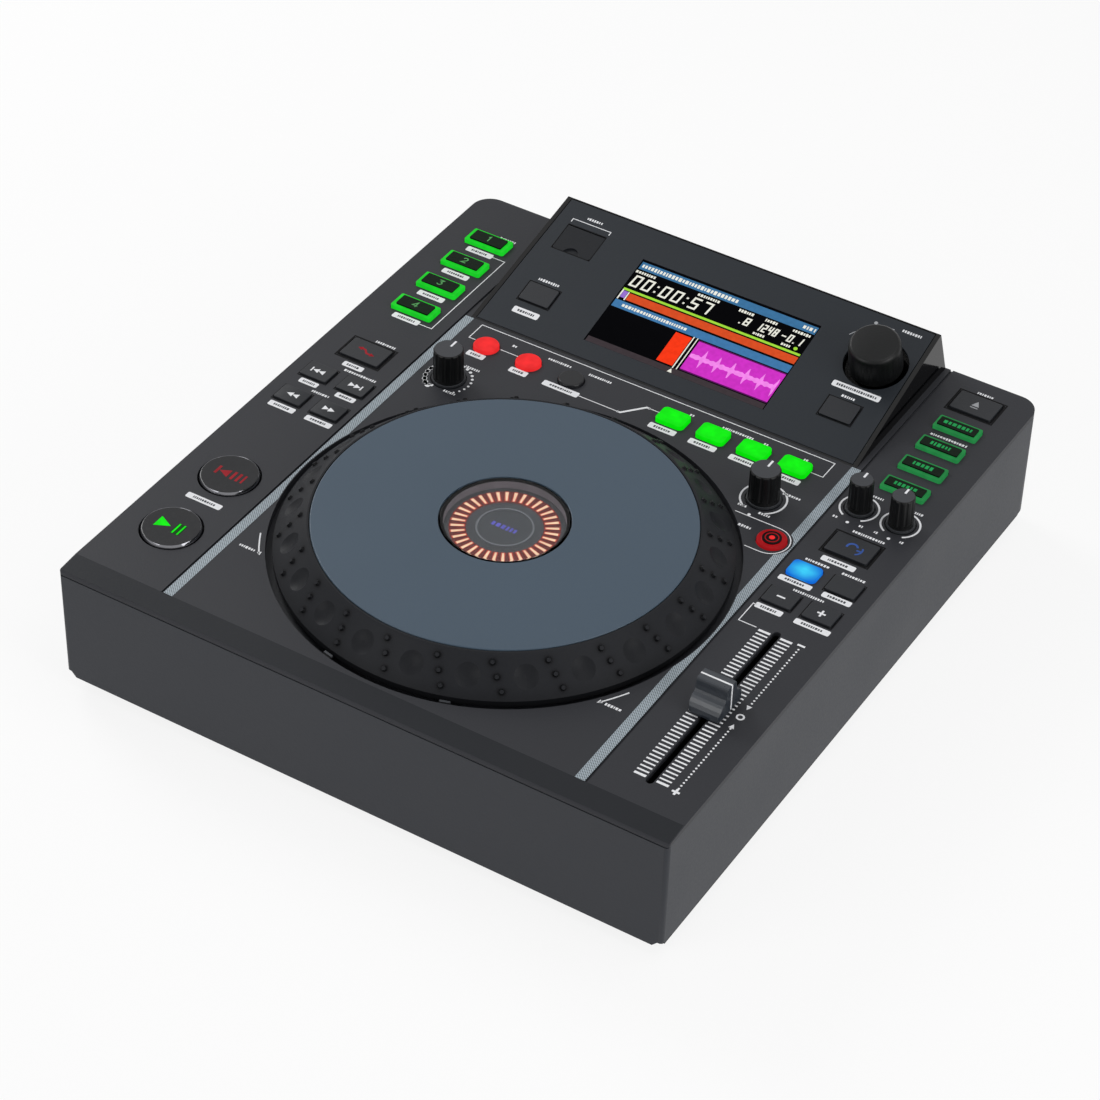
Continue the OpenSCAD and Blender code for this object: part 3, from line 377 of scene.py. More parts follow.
class Layer:
    """One printed or lit layer: closed prisms on a flat face, joined in one mesh."""

    def __init__(self, name, place, body, z=0.05, sink=0.15):
        self.name, self.place, self.body, self.z, self.sink = name, place, body, z, sink
        self.mesh = bmesh.new()
        self.slots = []

    def add(self, material, *outlines, z=None, sink=None):
        if material not in self.slots:
            self.slots.append(material)
        index = self.slots.index(material)
        top = self.z if z is None else z
        foot = -self.sink if sink is None else -sink
        for outline in outlines:
            area = sum(a[0] * b[1] - b[0] * a[1] for a, b in zip(outline, outline[1:] + outline[:1]))
            loop = outline if area > 0 else outline[::-1]
            upper = [self.mesh.verts.new((x, y, top)) for x, y in loop]
            lower = [self.mesh.verts.new((x, y, foot)) for x, y in loop]
            faces = [self.mesh.faces.new(upper), self.mesh.faces.new(lower[::-1])]
            for i in range(len(loop)):
                k = (i + 1) % len(loop)
                faces.append(self.mesh.faces.new((lower[i], lower[k], upper[k], upper[i])))
            for f in faces:
                f.material_index = index
        return self

    def done(self, slot):
        self.mesh.normal_update()
        bmesh.ops.triangulate(self.mesh, faces=[f for f in self.mesh.faces if len(f.verts) > 4])
        data = bpy.data.meshes.new(self.name)
        self.mesh.transform(self.place)
        self.mesh.to_mesh(data)
        self.mesh.free()
        for material in self.slots:
            data.materials.append(M[material])
        piece = bpy.data.objects.new(self.name, data)
        bpy.context.scene.collection.objects.link(piece)
        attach(piece, self.body)


def word(cx, cy, width, height=1.6, seed=0):
    """Unreadable short bars that stand where a label is printed."""
    draw = random.Random(seed)
    size = height / 1.5
    out, x = [], -width / 2
    while x < width / 2 - 0.4 * size:
        w = draw.uniform(0.45, 1.05) * size
        h = height * draw.uniform(0.75, 1.0)
        out.append(rect(cx + x + w / 2, cy, min(w, width / 2 - x), h))
        x += w + 0.4 * size
    return out


# the numbers 1 to 4 of the left keys, each one path in a box of height 1
STROKES = (
    [(-0.16, 0.32), (0.08, 0.5), (0.08, -0.5)],
    [(-0.3, 0.28), (-0.18, 0.46), (0.12, 0.5), (0.3, 0.3), (0.26, 0.08), (-0.32, -0.45), (0.34, -0.45)],
    [(-0.3, 0.45), (0.3, 0.45), (0.0, 0.1), (0.24, 0.0), (0.3, -0.22), (0.12, -0.46), (-0.14, -0.48),
     (-0.32, -0.34)],
    [(0.14, -0.5), (0.14, 0.46), (-0.36, -0.2), (0.36, -0.2)],
)
SEGMENTS = {"0": "abcdef", "1": "bc", "2": "abged", "4": "fgbc", "5": "afgcd", "7": "abc", "8": "abcdefg", "-": "g"}
DIGIT_SLANT = 0.12


def digit(ch, cx, cy, w, h, t):
    """Seven-segment digit with a slant."""
    def shear(points):
        return [(cx + x + y * DIGIT_SLANT, cy + y) for x, y in points]
    x1, y1 = w / 2, h / 2
    bars = {"a": rect(0, y1 - t / 2, w, t), "g": rect(0, 0, w, t), "d": rect(0, -y1 + t / 2, w, t),
            "b": rect(x1 - t / 2, y1 / 2, t, y1), "c": rect(x1 - t / 2, -y1 / 2, t, y1),
            "f": rect(-x1 + t / 2, y1 / 2, t, y1), "e": rect(-x1 + t / 2, -y1 / 2, t, y1)}
    if ch == ":":
        return [shear(rect(0, h * 0.2, t, t)), shear(rect(0, -h * 0.28, t, t))]
    if ch == ".":
        return [shear(rect(0, -y1 + t / 2, t, t))]
    return [shear(bars[s]) for s in SEGMENTS[ch]]


def number(text, x, cy, w, h, t, step):
    """Digits from x on, one step apart; a point or colon takes half a step."""
    out = []
    for ch in text:
        narrow = ch in ":."
        out += digit(ch, x + (step * 0.25 if narrow else step * 0.5), cy, w, h, t)
        x += step * (0.5 if narrow else 1.0)
    return out


def triangle(cx, cy, size, turn=0.0):
    """Arrow head that points along +X before it is turned."""
    return moved([(-size / 2, -size / 2), (size / 2, 0), (-size / 2, size / 2)], cx, cy, turn)


# ---------------------------------------------------------------- CAD nodes: materials and softened edges

NODE_LOOKS = {
    "base_plate": "steel_black", "lower_case": "case", "top_cover": "deck", "display_housing": "hood",
    "display_panel": "panel", "display_glass": "glass", "lcd_module": "steel", "trim_strips": "silver",
    "rear_jacks": "black", "power_inlet": "black", "power_switch": "black", "main_board": "board",
    "control_boards": "board", "fader_body": "gap", "jog_post": "steel", "jog_bearings": "steel",
    "jog_display": "cup", "jog_lens": "lens", "feet": "foot", "screws": "steel", "jog_ring": "wheel",
    "jog_pad": "pad", "cue_key": "key_clear", "play_key": "key_clear", "effect_key_1": "red",
    "effect_key_2": "red", "effect_key_3": "key_clear", "slip_key": "red_dim", "key_lock_key": "blue",
    "usb_cover": "port", "fader_cap": "cap", "browse_knob": "knob", "wheel_feel_knob": "knob",
    "filter_knob": "knob", "tone_knob": "knob", "tempo_range_knob": "knob",
}
GROUP_LOOKS = {"hot_cue": "green", "source_key": "mint", "loop_key": "green_hot"}
EDGE_RADIUS = {"lower_case": 0.5, "display_housing": 0.6, "display_panel": 0.25, "top_cover": 0.35,
               "usb_cover": 0.3, "fader_cap": 0.45, "jog_pad": 0.15, "power_switch": 0.5}
SHARP = {"display_glass", "lcd_module", "main_board", "control_boards", "jog_ring", "jog_lens", "jog_display",
         "screws", "trim_strips", "jog_bearings", "jog_post", "fader_body", "rear_jacks"}


def look_of(node):
    for group, look in GROUP_LOOKS.items():
        if node.startswith(group):
            return look
    return NODE_LOOKS.get(node, "key")


def soften(piece, radius, segments=2):
    """Joins the split vertices of a CAD mesh, merges its flat facets and rounds its sharp edges."""
    weld = piece.modifiers.new("weld", "WELD")
    weld.merge_threshold = 0.000002
    flat = piece.modifiers.new("flat", "DECIMATE")
    flat.decimate_type = "DISSOLVE"
    flat.angle_limit = math.radians(0.3)
    bevel = piece.modifiers.new("edge", "BEVEL")
    bevel.width = radius * MM
    bevel.segments = segments
    bevel.limit_method = "ANGLE"
    bevel.angle_limit = math.radians(38)
    bevel.use_clamp_overlap = True
    bevel.harden_normals = False


for node, piece in nodes.items():
    piece.data.materials.clear()
    piece.data.materials.append(M[look_of(node)])
    if node not in SHARP:
        soften(piece, EDGE_RADIUS.get(node, 0.3))


# ---------------------------------------------------------------- printed lines, pills and labels on the deck

# pale pills below the keys: x, y, width, height
PILLS = [(-127.2, 126.7, 14.5, 3.8), (-127.2, 105.3, 14.5, 3.8), (-127.2, 84.0, 14.5, 3.8),
         (-127.2, 62.7, 14.5, 3.8), (-127.1, 18.5, 11, 3.5), (-137.2, -2.8, 10, 3.4), (-116.9, -2.8, 10.5, 3.4),
         (-137.2, -24.2, 14, 3.6), (-117.1, -24.2, 14, 3.6), (-126.9, -98, 18.5, 3.5),
         (-84.7, 57.2, 9.5, 3.8), (-61.4, 57.2, 9.5, 3.8), (-38.4, 57.2, 19, 3.8), (15.6, 57.2, 14, 3.8),
         (36.6, 57.2, 14, 3.8), (57.6, 57.2, 14, 3.8), (79.6, 57.2, 14, 3.8), (127.0, 18.5, 16.5, 3.5),
         (117.3, -2.8, 16, 3.4), (137.6, -2.8, 14, 3.4), (116.4, -24.4, 13, 3.5), (137.4, -24.4, 17, 3.5)]
# unreadable labels: x, y, width
WORDS = [(-121, 142.6, 9), (-123.5, 40.4, 11), (-120.5, 14.4, 17), (-128, -6.8, 9), (-92.6, -113.3, 8),
         (92.6, -113.3, 8), (-73, 72.8, 2.4), (-49, 73.6, 12), (-27, 73.6, 12), (47, 73.6, 14), (22, 73.4, 2),
         (39, 73.4, 2), (60.5, 73.4, 2), (81, 73.4, 2), (-80, 47.4, 8), (-91, 26.8, 6), (-79.5, 26.6, 6),
         (88, 47.4, 8.5), (73, 30.2, 5), (84, 29.6, 5.5), (80.5, 18, 6), (127.5, 160.7, 8), (128, 121.9, 18),
         (119.7, 67.6, 7), (140.1, 67.6, 7), (130, 41.4, 16), (119.5, 13.7, 12), (137, 13.7, 11),
         (126.5, -7.3, 15), (110.5, 46, 2), (123.5, 46, 2), (131, 46, 2), (143.6, 46, 2)]
LINE_W = 0.45
SLIP_END = (94.4, 16.0)
SLIP_R = 9.2

prints = Layer("deck_prints", DECK, "console")
for p in PILLS:
    prints.add("print", pill(*p))
for i, (x, y, w) in enumerate(WORDS):
    prints.add("print", *word(x, y, w, seed=i))
prints.add("print", line([(-120, 126.7), (-112.9, 126.7), (-112.9, 62.7), (-120, 62.7)], LINE_W))
prints.add("print", line([(-91.2, 67), (-94.7, 67), (-94.7, 78.5), (93.1, 78.5), (93.1, 67), (87, 67)],
                         LINE_W))
prints.add("print", line([(-77.3, 67), (-67.6, 67)], LINE_W))
prints.add("print", line([(-28.9, 57.2), (-7.4, 57.2)], LINE_W), line([(2.6, 67), (8.6, 67)], LINE_W))
prints.add("print", line([(-8.4, 57.2), (-6.6, 57.2), (1.8, 67), (3.6, 67)], 1.1))
slip_turns = [math.radians(a) for a in range(90, -91, -10)]
slip_end = [(SLIP_END[0] + SLIP_R * math.cos(a), SLIP_END[1] + SLIP_R * math.sin(a)) for a in slip_turns]
prints.add("print", line([(71.8, 25.2)] + slip_end + [(86.8, 6.8)], LINE_W))
prints.add("print", line([(110.4, -24.4), (108.9, -24.4), (108.9, -37.3), (117.6, -37.3)], LINE_W))
# arrows beside the wheel that show its two ways
ARROW_R = 106.4
for low, high, turn in ((208.5, 216, 90), (-28.5, -36, -90)):
    prints.add("print", arc(0, JOG_Y, ARROW_R, 0.65, low, high, 8))
    tip = math.radians(high)
    reach = ARROW_R - 0.2
    prints.add("print", moved(triangle(0, 0, 2.2), reach * math.cos(tip), JOG_Y + reach * math.sin(tip),
                              high + turn))

# scale of the pitch fader
RUNG_STEP = 2.45
RUNG_TOP = -38.2
RUNGS = 43
RUNG_X = (121.9, 132.5)
DOT_X = 139.4
ZERO_Y = -89.7
for i in range(RUNGS):
    thick = 1.3 if i in (0, RUNGS - 1) else 0.85
    for x in RUNG_X:
        prints.add("print", rect(x, RUNG_TOP - RUNG_STEP * i, 5.6, thick))
for y in range(-40, -141, -2):
    if abs(y - ZERO_Y) > 8:
        prints.add("print", disc(DOT_X, y, 0.5, 10))
prints.add("print", triangle(DOT_X, ZERO_Y + 6.5, 2.6, -90), triangle(DOT_X, ZERO_Y - 6.5, 2.6, 90))
prints.add("print", arc(DOT_X, ZERO_Y, 1.5, 0.8, 0, 359.5, 28))
prints.add("print", rect(139.3, -37.3, 3.6, 1.1), rect(139.3, -142.3, 3.6, 1.1))
prints.add("print", rect(139.3, -141.1, 1.1, 1.2), rect(139.3, -143.5, 1.1, 1.2))

# scales round the knobs
POT_SCALE = (-59, 242)      # ends of the scales, in degrees
for node, r in (("filter_knob", 10.5), ("tone_knob", 8.8), ("tempo_range_knob", 8.8)):
    mid = centre(node)
    prints.add("print", arc(mid.x, mid.y, r, 0.9, *POT_SCALE))
    prints.add("print", disc(mid.x, mid.y - r - 2.6, 0.8, 14))
feel = centre("wheel_feel_knob")
FEEL_R = 11
prints.add("print", arc(feel.x, feel.y, FEEL_R, 1.7, 150, 240))
DOTS = 22
for i in range(DOTS):
    a = math.radians(POT_SCALE[1] + (POT_SCALE[0] - POT_SCALE[1]) * i / (DOTS - 1))
    prints.add("print", disc(feel.x + FEEL_R * math.cos(a), feel.y + FEEL_R * math.sin(a),
                             1.35 - 0.042 * i, 14))
prints.done("deck_plastic")

# unreadable marks on the pills
marks = Layer("pill_marks", DECK, "console", z=0.09, sink=0.02)
for i, (x, y, w, h) in enumerate(PILLS):
    marks.add("print_dark", *word(x, y, w * 0.62, 1.5, 40 + i))
marks.done("deck_plastic")

# painted shade: a darker layer on the sloping band along the front edge; the slope is real, its darker tone stands
# for the shade the slope takes
BAND_D, BAND_FLAT, BAND_DROP = 12.5, 11.4, 0.9
deck_low, deck_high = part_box("top_cover")
band_tilt = Matrix.Rotation(math.atan2(BAND_DROP, BAND_FLAT), 4, "X")
band_at = Matrix.Translation((0, deck_low.y + BAND_D * MM, DECK_Z))
band = Layer("front_band", band_at @ band_tilt @ Matrix.Scale(MM, 4), "console", z=0.04)
half_wide = deck_high.x / MM - 0.5
band.add("band", rect(0, -BAND_FLAT / 2, 2 * half_wide, BAND_FLAT)).done("deck_plastic")

# two small marks on the wall of the wheel's well, at its front: a grey mark on a black patch of painted shadow
WELL_R = 103.8
MARK_HALF = 1.3
well = Layer("well_marks", WHEEL, "console", z=-0.3, sink=1.2)
for turn in (-104, -71.6):
    well.add("print_dark", arc(0, 0, WELL_R - 1.9, 1.1, turn - MARK_HALF, turn + MARK_HALF, 6))
    well.add("gap", arc(0, 0, WELL_R - 0.6, 1.6, turn - MARK_HALF, turn + MARK_HALF, 6), z=-0.5)
well.done("deck_plastic")

# painted shadow: black bands in the gaps inside the frames round the wide keys
FRAMED_KEYS = ("direction_key", "eject_key", "jog_mode_key")
for node in FRAMED_KEYS:
    mid = centre(node)
    shadow_bands = Layer(node + "_painted_gap_shadow", DECK, "console", z=-0.2, sink=0.7)
    for dx, dy, w, h in ((0, 7.5, 22.6, 0.8), (0, -7.5, 22.6, 0.8), (11, 0, 0.8, 14.2), (-11, 0, 0.8, 14.2)):
        shadow_bands.add("gap", rect(mid.x + dx, mid.y + dy, w, h))
    shadow_bands.done("black_plastic")

# painted shadow: dark lines round the grey keys, the fascia's keys and the port flap
KEY_GAP = 0.35
GREY_KEY = (14.3, 10.6)
FRAMED_LINE = (22.9, 15.9)
HOOD_KEY = (16, 11.4)
HOOD_KEYS = ((-80.4, 25.5), (80.1, 26))
USB_AT = (-80.6, 62.5)
USB_SIZE = (20.5, 16)


def outline(layer, cx, cy, w, h, band=0.5):
    """Four black bands of painted shadow round a rectangle of w by h."""
    across, along = w + 2 * band, h
    up, aside = (h + band) / 2, (w + band) / 2
    for x, y, dx, dy in ((cx, cy + up, across, band), (cx, cy - up, across, band),
                         (cx + aside, cy, band, along), (cx - aside, cy, band, along)):
        layer.add("gap", rect(x, y, dx, dy))


key_lines = Layer("key_lines", DECK, "console", z=0.02, sink=0.3)
for node in ("track_back_key", "track_next_key", "search_back_key", "search_next_key", "tempo_tap_key",
             "pitch_down_key", "pitch_up_key"):
    mid = centre(node)
    outline(key_lines, mid.x, mid.y, GREY_KEY[0] + 2 * KEY_GAP, GREY_KEY[1] + 2 * KEY_GAP)
for node in FRAMED_KEYS:
    mid = centre(node)
    outline(key_lines, mid.x, mid.y, *FRAMED_LINE, 0.8)
key_lines.done("deck_plastic")
hood_lines = Layer("hood_key_lines", PANEL, "console", z=0.02, sink=0.3)
for x, v in HOOD_KEYS:
    outline(hood_lines, x, v, HOOD_KEY[0] + 2 * KEY_GAP, HOOD_KEY[1] + 2 * KEY_GAP, 0.6)
outline(hood_lines, *USB_AT, *USB_SIZE)
hood_lines.done("panel_plastic")

# ---------------------------------------------------------------- legends on the keys

def on_key(node, name="legend", z=0.05, sink=0.12):
    """Layer on the top face of a key, which moves with it."""
    return Layer(node + "_" + name, key_frame(node), node, z=z, sink=sink)


NUMBER_H = 3.8
SOURCE_MARKS = (14, 10, 10, 11)
for i in range(4):
    node = f"hot_cue_{i + 1}"
    on_key(node, "plate", 0.04, 0.78).add("label", rounded(0, 0, 17.54, 7.34, 0.5)).done("key_green")
    stroke = line([(x * NUMBER_H, y * NUMBER_H) for x, y in STROKES[i]], 0.55)
    on_key(node, "number", 0.1, 0.02).add("pale_green", stroke).done("key_green")
    node = f"source_key_{i + 1}"
    on_key(node, "plate", 0.04, 0.68).add("label", rounded(0, 0, 18.84, 5.84, 0.5)).done("key_mint")
    mark = word(0, 0, SOURCE_MARKS[i], 2.6, 70 + i)
    on_key(node, "mark", 0.1, 0.02).add("mint_text", *mark).done("key_mint")

# double arrows: which way they point, and whether they end at a bar
ARROWS = {"track_back_key": (-1, True), "track_next_key": (1, True), "search_back_key": (-1, False),
          "search_next_key": (1, False)}
for node, (way, barred) in ARROWS.items():
    turn = 0 if way > 0 else 180
    legend = on_key(node).add("print", triangle(-1.5 * way, 0, 3.1, turn), triangle(1.5 * way, 0, 3.1, turn))
    if barred:
        legend.add("print", rect(3.5 * way, 0, 0.7, 3.1))
    legend.done("key_grey")
minus = rect(0, 0, 4, 0.9)
on_key("pitch_down_key").add("print", minus).done("key_grey")
on_key("pitch_up_key").add("print", minus, rect(0, 1.3, 0.9, 1.7), rect(0, -1.3, 0.9, 1.7)).done("key_grey")
on_key("eject_key").add("print_dim", triangle(0, 0.8, 3.8, 90), rect(0, -2.3, 3.8, 0.6)).done("key_grey")
on_key("direction_key").add("rose", line([(-4.2, 1.1), (-1.2, 1.1), (0.8, -1.1), (4.2, -1.1)], 1.0),
                            triangle(-3.9, 1.1, 2.4, 180), triangle(3.9, -1.1, 2.4)).done("key_grey")
on_key("jog_mode_key").add("blue_dim", arc(0, 0, 2.4, 1.0, 20, 200), arc(1.2, -0.4, 3.8, 0.8, -60, 30),
                           rect(3.8, -0.8, 2.6, 0.9)).done("key_grey")
play = on_key("play_key")
play.add("green_hot", triangle(-3.8, 0, 7.0), rect(2.7, 0, 0.75, 6.8), rect(5.3, 0, 0.75, 6.8), z=0.08)
play.add("green_dim", rect(4.0, 0, 4.6, 7.0)).done("key_clear")
on_key("cue_key").add("rose", rect(-6.2, 0, 1.3, 5.6), triangle(-2.7, 0, 5.2, 180), rect(2.2, 0, 1.3, 5.6),
                      rect(5.0, 0, 1.3, 5.6), rect(7.6, 0, 1.0, 5.6)).done("key_clear")
slip = on_key("slip_key", "disc", 0.04, 0.75)
slip.add("label_red", disc(0, 0, 4.42)).add("red", disc(0, 0, 1.3), z=0.09)
slip.add("red_dim", *hoop(3.0, 0.5), z=0.08).done("key_red")

# ---------------------------------------------------------------- printed lines and glass on the hood

panel_prints = Layer("panel_prints", PANEL, "console")
panel_prints.add("print", line([(-90.9, 72.4), (-90.9, 74.5), (-69.9, 74.5), (-69.9, 72.4)], 0.4))
panel_prints.add("print", pill(-80.4, 13.4, 14, 3.7), pill(81.35, 39.5, 24.5, 3.5))
BROWSE_X = BROWSE.x / MM
panel_prints.add("print_dim", arc(BROWSE_X, BROWSE_V, 21.9, 0.4, 95, 152))
panel_prints.add("print_dim", disc(BROWSE_X - 11.5, BROWSE_V + 21.8, 0.9, 14))
for i, (x, v, w) in enumerate(((-80.5, 77.4, 8), (-80.4, 34.4, 11), (88.5, 80.6, 10), (80.1, 34.4, 7))):
    panel_prints.add("print", *word(x, v, w, 1.6, 90 + i))
panel_prints.done("panel_plastic")
panel_marks = Layer("panel_pill_marks", PANEL, "console", z=0.09, sink=0.02)
panel_marks.add("print_dark", *word(-80.4, 13.4, 9, 1.5, 95), *word(81.35, 39.5, 20, 1.5, 96))
panel_marks.done("panel_plastic")

# the picture on the screen: bars, plain numbers and a waveform from a formula
GLASS_TOP = -0.2
SCREEN_L, SCREEN_R = -46.6, 48.0
PROGRESS_L = -42.2
WAVE_X, WAVE_Y, WAVE_W, WAVE_H = 24.9, 25, 46.0, 18.0
screen = Layer("screen_picture", PANEL, "console", z=GLASS_TOP + 0.04, sink=-GLASS_TOP + 0.1)
wide = SCREEN_R - SCREEN_L
mid_x = (SCREEN_L + SCREEN_R) / 2
screen.add("bar_blue", rect(mid_x, 63.0, wide, 4.6))
screen.add("line_lime", rect(mid_x, 47.0, wide, 1.3))
screen.add("orange", rect((PROGRESS_L + SCREEN_R) / 2, 43.3, SCREEN_R - PROGRESS_L, 4.4))
screen.add("ink", rect(-46.2, 43.4, 0.7, 6.4), rect(-42.8, 43.3, 0.6, 5.2))
screen.add("violet", rect(-44.5, 43.8, 2.4, 4.2))
screen.add("bar_pale", rect(mid_x, 37.6, wide, 4.6))
screen.add("flame", rect(-6.4, WAVE_Y, 8.6, 18.6))
screen.add("magenta", rect(WAVE_X, WAVE_Y, WAVE_W, WAVE_H))
screen.add("plum", rect(WAVE_X, WAVE_Y + 9.3, WAVE_W, 0.7), rect(WAVE_X, WAVE_Y - 9.3, WAVE_W, 0.7))
screen.add("soot", rect(mid_x, 13.1, wide, 3.2))
screen.done("screen_glass")

ink = Layer("screen_ink", PANEL, "console", z=GLASS_TOP + 0.09, sink=-GLASS_TOP - 0.02)
# number, left end, middle height, then width, height, thickness and step of a digit
READINGS = (("00:00:57", SCREEN_L + 0.2, 53.2, 4.3, 7.2, 0.95, 6.35), (".8", 12.2, 54.0, 2.8, 4.8, 0.75, 4.0),
            ("1248", 21.2, 54.0, 2.1, 4.8, 0.7, 2.9), ("-0.1", 34.0, 54.0, 2.3, 4.6, 0.7, 3.4))
for reading in READINGS:
    ink.add("ink", *number(*reading))
# unreadable titles: x, height up the fascia, width, height
TITLES = ((-41.4, 58.9, 10.5, 1.7), (-7.2, 58.9, 11.5, 1.7), (13.2, 58.9, 8, 1.7), (26.6, 58.9, 6.5, 1.7),
          (42.4, 58.9, 9, 1.7), (25, 49.5, 6.5, 1.5), (39.2, 49.5, 5, 1.5), (-19.5, 63, 52, 2.3),
          (44, 63, 6, 2.3), (-24.4, 37.6, 35, 1.9))
for i, (x, v, w, h) in enumerate(TITLES):
    ink.add("ink", *word(x, v, w, h, 110 + i))
ink.add("line_lime", disc(44.2, 49.6, 1.0, 12))
ink.add("ink", rect(-1.4, WAVE_Y, 0.55, 20.6), rect(0.6, WAVE_Y, 0.45, 20.6), triangle(-1.5, 13.0, 2.4, 90))
WAVE_STEP = 0.5
WAVE_BEATS = 7.6


def wave_height(x):
    """Half height of the waveform: a ripple with a peak on each beat."""
    beat = max(0.0, 1 - abs((x / WAVE_BEATS + 0.35) % 1 - 0.5) * 9)
    ripple = 0.5 + 0.5 * math.sin(x * 1.9) * math.sin(x * 0.53 + 1)
    return 0.9 + 0.7 * ripple + 4.6 * beat


wave_x = [2.2 + WAVE_STEP * i for i in range(91)]
upper = [(x, WAVE_Y + wave_height(x)) for x in wave_x]
lower = [(x, WAVE_Y - wave_height(x)) for x in wave_x]
for i in range(len(wave_x) - 1):
    ink.add("pink", [lower[i], lower[i + 1], upper[i + 1], upper[i]])
ink.done("screen_glass")

# ---------------------------------------------------------------- lit ring in the middle of the wheel

BARS = 36
BAR_IN, BAR_OUT = 17.3, 24.0
BAR_MID = (BAR_IN + BAR_OUT) / 2
BAR_TOP = 10.6
CUP_FLOOR = 10.2
halo = Layer("display_halo", WHEEL, "console", z=CUP_FLOOR + 0.05, sink=-CUP_FLOOR + 0.1)
halo.add("halo_led", *hoop(BAR_MID, 7.6))
halo.add("cup_line", *hoop(12.4, 0.82), z=CUP_FLOOR + 0.36)
halo.add("violet_dim", *word(0, 0, 13, 3.2, 7))
halo.done("display_cup")
ring = Layer("display_bars", WHEEL, "console", z=BAR_TOP + 0.03, sink=-BAR_TOP + 0.6)
tips = Layer("display_bar_cores", WHEEL, "console", z=BAR_TOP + 0.07, sink=-BAR_TOP + 0.02)
for i in range(BARS):
    a = 360 / BARS * i
    ring.add("amber_led", moved(rect(BAR_MID, 0, BAR_OUT - BAR_IN - 0.02, 1.78), 0, 0, a))
    tips.add("white_led", moved([(BAR_IN + 0.4, -0.4), (BAR_OUT - 0.5, -0.72), (BAR_OUT - 0.5, 0.72),
                                 (BAR_IN + 0.4, 0.4)], 0, 0, a))
ring.done("display_cup")
tips.done("display_cup")

# ---------------------------------------------------------------- turned details

def revolve(name, profile, place, body, material, steps=72):
    """Closed ring turned from a profile of (radius, height) points, in millimetres."""
    mesh = bmesh.new()
    turns = [2 * math.pi * k / steps for k in range(steps)]
    loops = [[mesh.verts.new((r * math.cos(a), r * math.sin(a), z)) for r, z in profile] for a in turns]
    for k in range(steps):
        here, there = loops[k], loops[(k + 1) % steps]
        for i in range(len(profile)):
            j = (i + 1) % len(profile)
            mesh.faces.new((here[i], there[i], there[j], here[j]))
    bmesh.ops.recalc_face_normals(mesh, faces=mesh.faces)
    mesh.transform(place)
    data = bpy.data.meshes.new(name)
    mesh.to_mesh(data)
    mesh.free()
    data.materials.append(M[material])
    for f in data.polygons:
        f.use_smooth = True
    piece = bpy.data.objects.new(name, data)
    bpy.context.scene.collection.objects.link(piece)
    sharp = piece.modifiers.new("split", "EDGE_SPLIT")
    sharp.split_angle = math.radians(32)
    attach(piece, body)


# painted light: the wall of the display cup glows faintly, so that it shows pale instead of in shade
CUP_R = 26.8
CUP_TOP = 14.1
revolve("display_wall", [(CUP_R - 0.06, CUP_FLOOR + 0.05), (CUP_R - 0.06, CUP_TOP), (CUP_R + 0.15, CUP_TOP),
                         (CUP_R + 0.15, CUP_FLOOR + 0.05)], WHEEL, "console", "cup_painted_light")

# bright bevels of the two round keys
BIG_R, BIG_H, BIG_BEVEL = 13.8, 1.3, 0.8
BEVEL_IN = BIG_R - BIG_BEVEL
for node in ("cue_key", "play_key"):
    revolve(node + "_bevel", [(BIG_R + 0.03, -BIG_H), (BEVEL_IN + 0.03, 0), (BEVEL_IN - 0.25, -0.3),
                              (BIG_R - 0.4, -BIG_H - 0.6), (BIG_R + 0.03, -BIG_H - 0.6)],
            key_frame(node), node, "bright")

# crowns with their pointers, and collars whose grey ring is a painted highlight round the glossy skirt: radius of
# the top, of the skirt, and height
KNOBS = {"wheel_feel_knob": (7.0, 7.9, 17), "filter_knob": (7.0, 7.9, 17), "tone_knob": (5.4, 6.6, 16.6),
         "tempo_range_knob": (5.4, 6.6, 16.6)}
for node, (top_r, skirt_r, height) in KNOBS.items():
    top = Layer(node + "_crown", key_frame(node), node, z=0.03, sink=0.2)
    top.add("knob_top_and_collar_highlight", disc(0, 0, top_r - 0.55, 48))
    top.add("print", rect(0, top_r * 0.6, 1.0, top_r * 0.66), z=0.08)
    top.done("knob_black")
    # the collar's grey ring is a painted highlight on the glossy black skirt
    revolve(node + "_collar", [(skirt_r + 0.02, -height), (skirt_r + 0.02, 0.75 - height),
                               (skirt_r - 0.25, 1.0 - height), (skirt_r - 0.9, 0.92 - height),
                               (skirt_r - 0.9, 0.3 - height)], key_frame(node), node, "knob_top_and_collar_highlight")

# white line over the fader cap and down its ends
CAP_W, CAP_H, CAP_LINE = 14.84, 13.4, 0.9
cap_line = Layer("fader_cap_line", key_frame("fader_cap"), "fader_cap", z=0.05, sink=0.4)
cap_line.add("print", rect(0, 0, CAP_W, CAP_LINE))
for side in (-1, 1):
    cap_line.add("print", rect(side * CAP_W / 2, 0, 0.1, CAP_LINE), sink=CAP_H)
cap_line.done("cap_grey")

# plated barrels over the audio sockets
BARREL_IN = 3.5
for name in ("audio_out_right", "audio_out_left", "digital_out"):
    mount = next(m for m in frame["record"]["mounts"] if m["name"] == name)
    at = Vector(mount["pos_m"])
    r = mount["dims"]["r_mm"]
    half = mount["dims"]["length_mm"] / 2
    place = Matrix.Translation(at) @ Matrix.Rotation(math.radians(-90), 4, "X") @ Matrix.Scale(MM, 4)
    revolve(name + "_barrel", [(r + 0.04, 0.3 - half), (r + 0.04, half - 0.3), (r - 0.3, half + 0.04),
                               (BARREL_IN, half + 0.04), (BARREL_IN, half - 1), (BARREL_IN + 0.3, half - 1),
                               (BARREL_IN + 0.3, 0.3 - half)], place, "console", "gilt")

# ---------------------------------------------------------------- camera, light and floor

